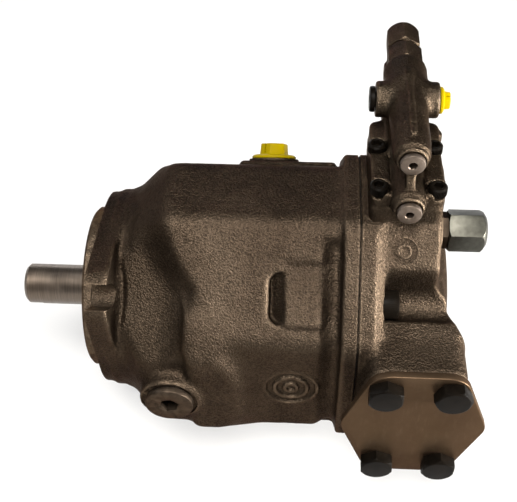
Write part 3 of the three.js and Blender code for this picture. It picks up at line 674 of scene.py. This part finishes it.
def make_valve_body():
    piece = valve_casting()
    low, high = VALVE
    tools = [beyond("z", low.z, -1), beyond("y", high.y)]
    for z, start in ((FLOW_Z, FLOW_START), (PRESSURE_Z, PRESSURE_START)):
        at = (VALVE_X, 0, z)
        tools += [
            cylinder(4.3, start - 3, 26, at, Y_AXIS, 32),
            cylinder(7.2, 22, high.y + 3, at, Y_AXIS),
            cylinder(5.3, start - 3, start + 8, at, Y_AXIS),
            cylinder(7.3, start - 3, start + 1.4, at, Y_AXIS),
        ]
    at = (VALVE_X, SIDE_PORT_Y, SIDE_PORT_Z)
    tools.append(cylinder(4.5, -30, 30, at, steps=32))
    tools += [cylinder(9.2, -30, -17.3, at), cylinder(9.2, 17.3, 30, at)]
    tools += [cylinder(3.3, 60, 140, (x, y, 0), Z_AXIS, 32) for x, y in VALVE_SCREWS]
    combine(piece, tools)
    fit(piece, VALVE_CAST, "valve_iron", "valve_body")


# ---------- fasteners and plugs, made along +X

def shank(radius, length, root):
    """A plain shank with a chamfered end, from x = -length into the head."""
    profile = [(-length, 0), (-length, radius - 1), (1 - length, radius), (root, radius), (root, 0)]
    return lathe("shank", profile, 48)


def socket_head(name, radius, head, height, length, hexagon, sunk, knurled=False):
    """A socket screw or plug, its head's seat at x = 0."""
    if knurled:
        teeth, groove = 40, 0.35
        outline = []
        for k in range(teeth * 2):
            angle = math.pi * k / teeth
            reach = head - (groove if k % 2 else 0)
            outline.append((reach * math.cos(angle), reach * math.sin(angle)))
        turned = [(-1, 0), (-1, head - 1.6), (1, head + 0.4), (height - 1.5, head + 0.4),
                  (height + 0.1, head - 1.2), (height + 0.1, 0)]
        piece = combine(prism(name, outline, 0, height), [lathe("tool", turned, 96)], "INTERSECT")
    else:
        piece = lathe(name, [(0, 0), (0, head - 0.4), (0.4, head), (height - 0.9, head),
                             (height - 0.25, head - 0.3), (height, head - 0.9), (height, 0)], 96)
    combine(piece, [shank(radius, length, 0.2)], "UNION")
    combine(piece, [prism("tool", polygon(6, hexagon), height - sunk, height + 1)])
    inner, outer = hexagon * 0.45, hexagon * 0.66
    mouth = [(height - 0.9, 0), (height - 0.9, inner), (height - 0.5, inner), (height + 0.2, outer),
             (height + 0.2, 0)]
    return combine(piece, [lathe("tool", mouth, 48)])


def turned_hexagon(name, across, x0, x1, profile, turn=math.pi / 6):
    """A hexagon bar whose corners are turned down to a profile of (x, radius) points."""
    return combine(prism(name, polygon(6, across, turn), x0, x1), [lathe("tool", profile, 96)], "INTERSECT")


def hex_head(name, radius, across, height, length):
    """A hexagon bolt with a chamfered crown and a washer face, its seat at x = 0."""
    corner = across / math.sqrt(3)
    profile = [(-1, 0), (-1, corner + 1), (height - 1.9, corner + 0.35), (height - 0.35, corner - 1.25),
               (height, corner - 1.9), (height, 0)]
    piece = turned_hexagon(name, across, 0.6, height, profile, 0)
    face = lathe("washer", [(0, 0), (0, across / 2 - 0.8), (0.7, across / 2 - 0.5), (0.9, 0)], 96)
    combine(piece, [face, shank(radius, length, 0.4)], "UNION")
    return bevelled(piece, 0.25, 2, 25)


def moulded_plug(name, radius, collar, across, grip, length):
    """A push-in plastic plug: thin collar, and a tapered hexagon grip split by a slot."""
    piece = lathe(name, [(-length, 0), (-length, radius - 1.2), (1.5 - length, radius), (0, radius),
                         (0, collar - 0.4), (0.4, collar), (1.4, collar), (2.3, collar - 1.2),
                         (2.5, collar - 2.4), (2.5, 0)], 96)
    base = [(1.5, a, b) for a, b in polygon(6, across + 0.6)]
    top = [(2.5 + grip, a, b) for a, b in polygon(6, across - 0.6)]
    combine(piece, [bevelled(loft("grip", base, top), 0.7, 3)], "UNION")
    width = across * 0.045
    combine(piece, [block((3.4, -width, -30), (30, width, 30))])
    return combine(piece, [lathe("tool", [(4.6, 0), (4.6, across * 0.27), (30, across * 0.29), (30, 0)], 48)])


def stop_nut(name, across, x0, x1, front, rear, bore):
    """A hexagon nut with turned ends and a bore; front and rear are the lengths of its cones."""
    corner = across / math.sqrt(3)
    profile = [(x0 - 0.1, 0), (x0 - 0.1, corner - front * 1.3), (x0 + front, corner + 0.3),
               (x1 - rear, corner + 0.3), (x1 - rear * 0.45, corner - rear * 0.42),
               (x1, corner - rear * 1.1), (x1, 0)]
    nut = bevelled(turned_hexagon(name, across, x0, x1, profile), 0.25, 2, 25)
    return combine(nut, [lathe("tool", [(-6, 0), (-6, STOP_HOLE), *bore], 32)])


def adjuster(name):
    """Spring setting screw, its hexagon nut, and the closed cap over it."""
    piece = lathe(name, [(-7, 0), (-7, 4.8), (-6.4, 5.5), (-2, 5.5), (-2, 6.8), (18, 6.8), (18, 0)])
    nut = [(-0.1, 0), (-0.1, 9.4), (1.2, 11.3), (12.6, 11.3), (15, 9.2), (15, 0)]
    cap = [(16.9, 0), (16.9, 8.8), (18, 10.6), (29.5, 10.7), (33, 9.6), (35.6, 7.8), (37, 5.4), (37, 0)]
    hexagons = [turned_hexagon("nut", 19, 0, 15, nut), turned_hexagon("cap", 18, 17, 37, cap)]
    return combine(piece, [bevelled(hexagon, 0.25, 2, 25) for hexagon in hexagons], "UNION")


def seal_ring(name, inner, outer, x0, x1):
    edge = 0.15
    profile = [(x0, inner), (x0, outer - edge), (x0 + edge, outer), (x1 - edge, outer), (x1, outer - edge),
               (x1, inner)]
    return lathe(name, profile, 96, loop=True)


# ---------- materials

class Nodes:
    """A short way to write a node material with one Principled shader."""

    def __init__(self, name, metallic=0.0, specular=None):
        self.material = bpy.data.materials.new(name)
        self.material.use_nodes = True
        self.tree = self.material.node_tree
        self.shader = self.tree.nodes["Principled BSDF"]
        self.shader.inputs["Metallic"].default_value = metallic
        if specular is not None:
            self.shader.inputs["Specular IOR Level"].default_value = specular
        self.place = self.add("TexCoord").outputs["Object"]

    def link(self, a, b):
        self.tree.links.new(a, b)

    def add(self, kind, **values):
        """A new shader node with the numbers of its sockets."""
        node = self.tree.nodes.new("ShaderNode" + kind)
        for name, value in values.items():
            node.inputs[name].default_value = value
        return node

    def noise(self, scale, detail=3.0, roughness=0.55, place=None):
        node = self.add("TexNoise", Scale=scale, Detail=detail, Roughness=roughness)
        self.link(place or self.place, node.inputs["Vector"])
        return node.outputs["Fac"]

    def cells(self, scale):
        node = self.add("TexVoronoi", Scale=scale)
        self.link(self.place, node.inputs["Vector"])
        return node.outputs["Distance"]

    def stretched(self, x, y, z):
        node = self.add("Mapping", Scale=(x, y, z))
        self.link(self.place, node.inputs["Vector"])
        return node.outputs["Vector"]

    def ramp(self, value, *stops):
        node = self.add("ValToRGB")
        elements = node.color_ramp.elements
        while len(elements) < len(stops):
            elements.new(0.5)
        for element, (at, colour) in zip(elements, stops):
            element.position = at
            element.color = (*colour, 1) if isinstance(colour, tuple) else (colour, colour, colour, 1)
        self.link(value, node.inputs["Fac"])
        return node.outputs["Color"]

    def wander(self, low, high, scale, detail=3.0, roughness=0.55):
        """A number or colour that wanders between two."""
        return self.ramp(self.noise(scale, detail, roughness), (0.3, low), (0.7, high))

    def fill(self, sockets, values):
        """Sets each socket to its number or colour, or links it to its node."""
        for socket, value in zip(sockets, values):
            if isinstance(value, tuple):
                socket.default_value = (*value, 1)
            elif isinstance(value, float):
                socket.default_value = value
            else:
                self.link(value, socket)

    def mix(self, factor, a, b, blend="MIX"):
        node = self.add("Mix")
        node.data_type = "RGBA"
        node.blend_type = blend
        self.fill([node.inputs[name] for name in ("Factor", "A", "B")], (factor, a, b))
        return node.outputs["Result"]

    def math(self, operation, a, b):
        node = self.add("Math")
        node.operation = operation
        self.fill(node.inputs, (a, b))
        return node.outputs["Value"]

    def edges(self, low, high):
        """1 on convex edges, 0 on flat faces and in corners."""
        pointed = self.add("NewGeometry").outputs["Pointiness"]
        return self.ramp(pointed, (low, 0.0), (high, 1.0))

    def bump(self, *layers):
        """Layers of (height, strength, depth in millimetres), coarse first."""
        normal = None
        for height, strength, depth in layers:
            node = self.add("Bump", Strength=strength, Distance=depth * MM)
            self.link(height, node.inputs["Height"])
            if normal:
                self.link(normal, node.inputs["Normal"])
            normal = node.outputs["Normal"]
        self.link(normal, self.shader.inputs["Normal"])

    def finish(self, colour, roughness):
        self.link(colour, self.shader.inputs["Base Color"])
        self.link(roughness, self.shader.inputs["Roughness"])
        return self.material


EDGE_TINT = (0.34, 0.275, 0.22, 1)  # keeps grazing reflections of the pale floor brown
EVEN = (420.0, 420.0, 420.0)  # tool marks without a direction


def painted_casting(name, dark, middle, light, grain, depth, gloss=(0.38, 0.50)):
    """Sand-cast iron under satin paint: moulding grain, patches, pits darkened with painted shade, and worn
    edges painted lighter, partly paint wear and partly a painted highlight.
    """
    n = Nodes(name, metallic=0.92)
    n.shader.inputs["Specular Tint"].default_value = EDGE_TINT
    patches = n.noise(24.0, 3.0, 0.5)
    fine = n.noise(grain, 2.0, 0.6)
    colour = n.ramp(patches, (0.30, dark), (0.5, middle), (0.75, light))
    speck = n.ramp(fine, (0.35, 0.62), (0.65, 1.4))
    colour = n.mix(1.0, colour, speck, "MULTIPLY")
    # Convex edges and ridges painted lighter: partly paint worn off the edges, partly a painted highlight
    # along them.
    wear_and_edge_highlight = n.math("MULTIPLY", n.edges(0.505, 0.56), n.ramp(n.noise(220.0, 4.0), (0.35, 0.2), (0.6, 1.0)))
    colour = n.mix(wear_and_edge_highlight, colour, tuple(min(1.0, c * 2.0) for c in light))
    # Painted shade: the small pits of the casting are painted much darker than the paint around them.
    pits = n.ramp(n.cells(330.0), (0.02, 0.0), (0.11, 1.0))
    pit_shade = n.math("MULTIPLY", n.math("SUBTRACT", 1.0, pits), 0.6)
    colour = n.mix(pit_shade, colour, tuple(c * 0.3 for c in dark))
    lumps = n.noise(grain * 0.28, 2.0)
    n.bump((lumps, 0.35, depth * 1.6), (fine, 1.0, depth * 1.7), (pits, 0.3, depth))
    return n.finish(colour, n.wander(*gloss, 90.0, 4.0))


def painted_plate():
    """Smooth paint with faint patches and a few upright scuffs."""
    n = Nodes("painted_plate_brown", metallic=0.85)
    n.shader.inputs["Specular Tint"].default_value = EDGE_TINT
    patches = n.wander((0.054, 0.0345, 0.0205), (0.072, 0.047, 0.0285), 22.0, 5.0, 0.6)
    scuffs = n.ramp(n.noise(340.0, 6.0, 0.7, n.stretched(1.0, 1.0, 0.25)), (0.52, 0.0), (0.74, 0.5))
    colour = n.mix(scuffs, patches, (0.095, 0.066, 0.044))
    n.bump((n.noise(150.0, 3.0), 0.12, 0.3), (n.noise(1500.0, 2.0), 0.12, 0.08))
    return n.finish(colour, n.wander(0.40, 0.52, 60.0, 5.0))


def turned_metal(name, low, high, roughness=(0.24, 0.4), rings=(2600.0, 60.0, 60.0), stain=0.35,
                 stain_colour=(0.13, 0.09, 0.06)):
    """Machined metal between two colours: fine tool marks across X, and soft stains."""
    n = Nodes(name, metallic=1.0)
    marks = n.noise(1.0, 3.0, 0.5, n.stretched(*rings))
    base = n.ramp(marks, (0.3, low), (0.7, high))
    stains = n.ramp(n.noise(45.0, 5.0, 0.62), (0.42, 0.0), (0.8, stain))
    colour = n.mix(stains, base, stain_colour)
    n.bump((marks, 0.12, 0.06))
    return n.finish(colour, n.wander(*roughness, 120.0, 4.0))


def black_oxide():
    n = Nodes("black_oxide_steel", specular=0.035)
    patches = n.noise(160.0, 5.0, 0.6)
    colour = n.ramp(patches, (0.35, (0.0022, 0.0017, 0.0012)), (0.7, (0.0046, 0.0034, 0.0024)))
    n.bump((n.noise(900.0, 3.0), 0.15, 0.08))
    return n.finish(colour, n.wander(0.30, 0.48, 200.0, 4.0))


def yellow_plastic():
    n = Nodes("yellow_polyethylene", specular=0.03)
    colour = n.wander((0.205, 0.150, 0.0), (0.240, 0.177, 0.0), 60.0)
    n.bump((n.noise(700.0, 2.0), 0.08, 0.1))
    return n.finish(colour, n.wander(0.34, 0.46, 150.0))


def dull_black(name, base, roughness):
    n = Nodes(name, specular=0.08)
    dark, light = tuple(c * 0.7 for c in base), tuple(c * 1.3 for c in base)
    colour = n.wander(dark, light, 180.0, 4.0)
    n.bump((n.noise(600.0, 3.0), 0.15, 0.1))
    return n.finish(colour, n.wander(roughness - 0.08, roughness + 0.08, 120.0))


def pale_floor():
    """A floor that glows a little, most of all near the object, so that it shows white."""
    n = Nodes("studio_floor")
    n.shader.inputs["Emission Color"].default_value = (1, 1, 1, 1)
    distance = n.add("VectorMath")
    distance.operation = "LENGTH"
    n.link(n.place, distance.inputs[0])
    glow = n.ramp(distance.outputs["Value"], (0.35, 0.55), (0.95, 0.4))
    n.link(glow, n.shader.inputs["Emission Strength"])
    return n.finish(n.wander(0.25, 0.28, 3.0, 2.0), n.wander(0.6, 0.7, 8.0, 2.0))


CAST = painted_casting("painted_cast_iron", (0.027, 0.0190, 0.0130), (0.039, 0.0282, 0.0195),
                       (0.052, 0.0385, 0.0270), 950.0, 0.42)
VALVE_CAST = painted_casting("painted_valve_iron", (0.024, 0.0168, 0.0110), (0.038, 0.0275, 0.0188),
                             (0.058, 0.0440, 0.0305), 1150.0, 0.36, (0.29, 0.42))
PAINTED_PLUG = painted_casting("painted_steel_fitting", (0.012, 0.0088, 0.0062), (0.019, 0.0140, 0.0100),
                               (0.030, 0.0223, 0.0164), 2600.0, 0.04)
COVER = painted_plate()
BLACK = black_oxide()
STEEL = turned_metal("machined_steel", (0.10, 0.080, 0.064), (0.17, 0.138, 0.112), (0.32, 0.46))
BRIGHT = turned_metal("plated_plug_steel", (0.108, 0.085, 0.068), (0.168, 0.136, 0.113), (0.40, 0.52), EVEN,
                      0.3)
ZINC = turned_metal("dull_zinc", (0.0415, 0.0408, 0.0338), (0.0612, 0.0600, 0.0508), (0.34, 0.48), EVEN, 0.35,
                    (0.04, 0.036, 0.03))
BRONZE = turned_metal("machined_bronze", (0.40, 0.22, 0.08), (0.55, 0.33, 0.13), (0.25, 0.4))
SPRING = turned_metal("spring_wire", (0.22, 0.22, 0.23), (0.32, 0.32, 0.33), (0.25, 0.38))
YELLOW = yellow_plastic()
RUBBER = dull_black("nitrile_rubber", (0.010, 0.010, 0.010), 0.6)
GASKET = dull_black("gasket_sheet", (0.0025, 0.0022, 0.002), 0.85)


# ---------- pieces

def cover_outline(half_x, half_z, edge):
    """A hexagon round a port, with corners on the X sides and flat edges above and below."""
    corners = [(half_x, 0), (edge, half_z), (-edge, half_z), (-half_x, 0), (-edge, -half_z), (edge, -half_z)]
    return [(PORT_X + a, b) for a, b in rounded(corners, 14, 10)]


def make_port_gasket(name, outline, start, end, bore):
    gasket = prism(name, outline, start, end, "XZ")
    combine(gasket, [cylinder(bore, start - 20, end + 20, (PORT_X, 0, 0), Y_AXIS, 64)])
    fit(gasket, GASKET, "rubber")


def make_suction_cover():
    low, high = SUCTION
    piece = bevelled(prism("suction_plate", cover_outline(41, 47, 24), low.y, high.y, "XZ"), 0.6, 3)
    combine(piece, cover_bolt_holes(low.y - 2, high.y + 2))
    fit(piece, COVER, "painted_steel", "suction_cover")
    make_port_gasket("suction_gasket", cover_outline(40.0, 46.0, 23.4), high.y, -SUCTION_FACE, SUCTION_BORE)


def make_pressure_cover():
    low, high = box_mm("pressure_cover")
    piece = bevelled(prism("pressure_plate", cover_outline(33, 39, 19), low.y, high.y, "XZ"), 0.8, 3)
    places = [(PORT_X + sx * 13.1, high.y, sz * 26.2) for sx in (-1, 1) for sz in (-1, 1)]
    sunk = [(-14, 0), (-14, 5.3), (-5.6, 5.3), (-0.4, 10.3), (1, 10.3), (1, 0)]
    combine(piece, [moved(lathe("tool", sunk), at, Y_AXIS) for at in places])
    fit(piece, COVER, "painted_steel", "pressure_cover")
    flush = [(-9.9, 0), (-9.9, 5), (-5.7, 5), (-0.7, 9.8), (-0.3, 9.8), (-0.1, 9.5), (-0.1, 0)]
    for i, at in enumerate(places):
        screw = lathe(f"pressure_cover_screw_{i + 1}", flush)
        combine(screw, [prism("tool", polygon(6, 6), -4.5, 1)])
        fit(moved(screw, at, Y_AXIS), BLACK, "black_steel")
    make_port_gasket("pressure_gasket", cover_outline(32.4, 38.4, 18.7), PRESSURE_FACE, low.y, PRESSURE_BORE)


def make_bolts():
    for i, turn in enumerate((0.50, 0.06, 0.45, 0.58), 1):
        node = f"body_bolt_{i}"
        y, z = centre(node, "y", "z")
        piece = socket_head(f"body_screw_{i}", 5, BOLT_HEAD, height=10, length=34, hexagon=8, sunk=5.5)
        fit(moved(piece, (RIDGE + 0.3, y, z), turn=0.3 * i), BLACK, "black_steel", node)
        node = f"suction_cover_bolt_{i}"
        x, z = centre(node, "x", "z")
        piece = hex_head(f"suction_bolt_{i}", 6, across=18, height=7.5, length=30)
        fit(moved(piece, (x, SUCTION[0].y - 0.3, z), (0, -1, 0), turn), BLACK, "black_steel", node)
    for i, (x, y) in enumerate(VALVE_SCREWS):
        name = f"valve_screw_{i + 1}"
        piece = socket_head(name, 3, 5, height=6, length=16, hexagon=5, sunk=3.3, knurled=True)
        fit(moved(piece, (x, y, FOOT_TOP - 4.0), Z_AXIS, 0.4 * i), BLACK, "black_steel")


def make_drain_plug():
    piece = socket_head("drain_screw_plug", 10.7, 14, height=4, length=14, hexagon=10, sunk=8)
    place = (DRAIN_X, -DRAIN_FACE - 0.3, DRAIN_Z)
    fit(moved(piece, place, (0, -1, 0), 0.26), PAINTED_PLUG, "steel", "drain_plug")
    ring = seal_ring("drain_seal_ring", 11.1, 13.4, -1.0, 0.0)
    fit(moved(ring, (DRAIN_X, -DRAIN_FACE - 0.2, DRAIN_Z), (0, -1, 0)), GASKET, "rubber")


def make_plugs():
    piece = moulded_plug("leakage_plug", 8.9, collar=13.75, across=15.6, grip=7, length=12)
    seat = (LEAK_FACE + 0.3) / ROOT2
    fit(moved(piece, (LEAK_X, seat, seat), LEAK_AXIS), YELLOW, "yellow_plastic", "leakage_port_plug")
    piece = moulded_plug("pilot_plug", 4.2, collar=7.4, across=9.6, grip=3.2, length=8)
    x = box_mm("pilot_port_plug")[1].x - 9.1
    y, z = centre("pilot_port_plug", "y", "z")
    fit(moved(piece, (x, y, z), turn=0.4), YELLOW, "yellow_plastic", "pilot_port_plug")
    piece = socket_head("side_plug", 4.2, 7.2, height=3, length=8, hexagon=4, sunk=6)
    x = box_mm("side_port_plug")[0].x + 3
    fit(moved(piece, (x, y, z), (-1, 0, 0)), BLACK, "black_steel", "side_port_plug")
    for name in ("flow", "pressure"):
        node = f"{name}_spool_plug"
        x, z = centre(node, "x", "z")
        piece = socket_head(f"{name}_end_plug", 5, 6.6, height=3, length=6, hexagon=4.2, sunk=6)
        seat = box_mm(node)[0].y + 3
        fit(moved(piece, (x, seat, z), (0, -1, 0), 0.2), BRIGHT, "steel", node)
    pressed = [(-5, 0), (-5, 4.2), (0.5, 4.2), (0.9, 3.8), (1.0, 3.2), (0.7, 2.6), (0.7, 0)]
    at = Vector(PRESSED_PLUG) + Vector(PRESSED_AXIS).normalized() * PRESSED_FACE
    fit(moved(lathe("pressed_plug", pressed, 48), at, PRESSED_AXIS), CAST, "cast_iron")


def make_stroke_stop():
    """The cap nut over the stroke stop screw, and the thin nut that locks it."""
    seat = (box_mm("stroke_stop_cap_nut")[0].x + 4, 0, CONTROL_Z)
    cap = stop_nut("stop_nut", 22, 0, 22, 1.2, 3.6, [(16, STOP_HOLE), (17, 3), (17, 0)])
    fit(moved(cap, seat), ZINC, "zinc", "stroke_stop_cap_nut")
    lock = stop_nut("stop_lock_nut", 19, -4, -0.1, 0.7, 0.7, [(1, STOP_HOLE), (1, 0)])
    fit(moved(lock, seat, turn=0.1), PAINTED_PLUG, "painted_steel")


def make_adjusters():
    for name in ("flow", "pressure"):
        node = f"{name}_adjuster"
        x, z = centre(node, "x", "z")
        piece = moved(adjuster(f"{name}_setting_screw"), (x, VALVE[1].y + 0.3, z), Y_AXIS)
        fit(piece, VALVE_CAST, "valve_iron", node, body=node)


def make_shaft():
    tip, end = SHAFT[0].x, SHAFT[1].x
    profile = [(tip + 4, 0), (tip + 4, 2.2), (tip + 0.4, 3.4), (tip, 3.8), (tip, 10.6), (tip + 0.2, 10.9),
               (tip + 1.9, 12.45), (tip + 2.3, 12.5), (-4.4, 12.5), (-4, 12.7), (-3, 14.8), (-2.7, 15),
               (31, 15), (31, 14), (148, 14), (148, 12), (end - 1, 12), (end, 11), (end, 0)]
    piece = lathe("input_shaft", profile, 128)
    low, high = box_mm("shaft_key")
    slot = rounded(rectangle(low.x - 0.4, high.x + 0.4, -4.05, 4.05), 4, 10)
    combine(piece, [prism("tool", slot, -20, -8.5, "XY")])
    fit(piece, STEEL, "steel", "drive_shaft", body="rotating_group")
    outline = rounded(rectangle(low.x, high.x, low.y, high.y), 3.7, 10)
    key = bevelled(prism("parallel_key", outline, low.z, high.z, "XY"), 0.4, 2)
    fit(key, STEEL, "steel", "shaft_key", body="rotating_group")


def make_shaft_seal():
    profile = [(-5, 16.2), (-5, 22.2), (-4.4, 22.7), (4.4, 22.7), (4.4, 20), (-1.4, 19), (-1.4, 17.2),
               (3.2, 16.4), (3.6, 15.5), (2.6, 15.25), (-1, 16.6), (-3.2, 16.2), (-4.2, 15.4)]
    fit(lathe("lip_seal", profile, 96, loop=True), RUBBER, "rubber", "shaft_seal")


def make_gasket():
    """The dark joint sheet between the two castings, just inside their edge."""
    piece = prism("joint_gasket", rim_outline(1.4), JOINT_X, PLATE_FRONT)
    start, end = JOINT_X - 10, JOINT_X + 10
    holes = [cylinder(ROOM + 1, start, end, steps=96)]
    holes += [cylinder(BOLT_HOLE, start, end, at, steps=32) for at in BOLT_PLACES]
    holes += [cylinder(9, start, end, (0, 0, side * CONTROL_Z), steps=32) for side in (1, -1)]
    combine(piece, holes)
    fit(piece, GASKET, "rubber")


def finish_inner():
    """The pieces sealed inside keep their CAD shape and get real finishes."""
    finishes = {"bronze": BRONZE, "spring_steel": SPRING, "rubber": RUBBER, "steel": STEEL, "cast_iron": CAST,
                "valve_iron": VALVE_CAST, "painted_steel": COVER, "black_steel": BLACK, "zinc": ZINC,
                "yellow_plastic": YELLOW}
    slots = {part["node"]: part["material_slot"] for part in frame["record"]["subparts"]}
    for name, node in frame["nodes"].items():
        finish = finishes[slots.get(name, "steel")]
        if not node.material_slots:
            node.data.materials.append(finish)
        for material_slot in node.material_slots:
            material_slot.material = finish


# ---------- stage, light and camera

AIM = (0.09, 0.0, 0.02)  # where the lights point, in metres
WARM, AMBER, COOL = (1.0, 0.97, 0.92), (1.0, 0.90, 0.80), (0.95, 0.97, 1.0)
LIGHTS = [  # name, place and size in metres, power in watts, colour
    ("key", (0.05, -0.56, 1.45), (0.8, 0.6), 51, WARM),
    ("front_fill", (0.15, -1.6, 1.1), (0.8, 0.6), 9, AMBER),
    ("right_edge", (1.5, -0.42, 0.1), (0.45, 0.7), 150, WARM),
    ("left_fill", (-1.2, 0.35, 0.95), (0.8, 0.6), 7, COOL),
    ("back_fill", (-0.2, 1.9, 0.2), (1.2, 0.3), 8, COOL),
]
CAMERA_AT = (120.1, -388.7, 460.1)
CAMERA_YAW, CAMERA_RISE, CAMERA_ROLL = 4.0, 47.4, -1.3  # degrees


def make_stage():
    level = CAD_BOX[0].z / MM - 0.2
    floor = prism("floor", rectangle(-2600, 2800, -2600, 3200), level - 5, level, "XY")
    floor.data.materials.append(pale_floor())


def make_lights():
    for name, at, size, power, colour in LIGHTS:
        data = bpy.data.lights.new(name, "AREA")
        data.shape = "RECTANGLE"
        data.size, data.size_y = size
        data.energy = power
        data.color = colour
        lamp = new_object(name, data)
        lamp.location = at
        lamp.rotation_euler = (Vector(AIM) - Vector(at)).to_track_quat("-Z", "Y").to_euler()


def make_world():
    """A soft room light, strongest near the horizon and weak overhead."""
    world = bpy.data.worlds.new("studio")
    world.use_nodes = True
    tree = world.node_tree
    height = tree.nodes.new("ShaderNodeSeparateXYZ")
    tree.links.new(tree.nodes.new("ShaderNodeTexCoord").outputs["Generated"], height.inputs["Vector"])
    glow = tree.nodes.new("ShaderNodeMapRange")
    for socket, value in (("From Min", 0.10), ("From Max", 0.42), ("To Min", 0.36), ("To Max", 0.06)):
        glow.inputs[socket].default_value = value
    tree.links.new(height.outputs["Z"], glow.inputs["Value"])
    tree.links.new(glow.outputs["Result"], tree.nodes["Background"].inputs["Strength"])
    tree.nodes["Background"].inputs["Color"].default_value = (*COOL, 1)
    bpy.context.scene.world = world
    bpy.context.scene.view_settings.view_transform = "Standard"


def make_camera():
    yaw, rise, roll = (math.radians(angle) for angle in (CAMERA_YAW, CAMERA_RISE, CAMERA_ROLL))
    back = Vector((math.sin(yaw) * math.cos(rise), -math.cos(yaw) * math.cos(rise), math.sin(rise)))
    right = Vector((0, 0, 1)).cross(back).normalized()
    up = back.cross(right)
    c, s = math.cos(roll), math.sin(roll)
    data = bpy.data.cameras.new("camera")
    data.lens, data.sensor_width = 66.13, 36
    data.clip_end = 20
    camera = new_object("camera", data)
    turned = Matrix((c * right + s * up, c * up - s * right, back)).transposed()
    camera.matrix_world = Matrix.Translation(Vector(CAMERA_AT) * MM) @ turned.to_4x4()
    bpy.context.scene.camera = camera


make_camera()
make_lights()
make_world()
make_stage()
finish_inner()
make_housing()
make_port_plate()
make_valve_body()
make_suction_cover()
make_pressure_cover()
make_bolts()
make_drain_plug()
make_plugs()
make_stroke_stop()
make_adjusters()
make_shaft()
make_shaft_seal()
make_gasket()
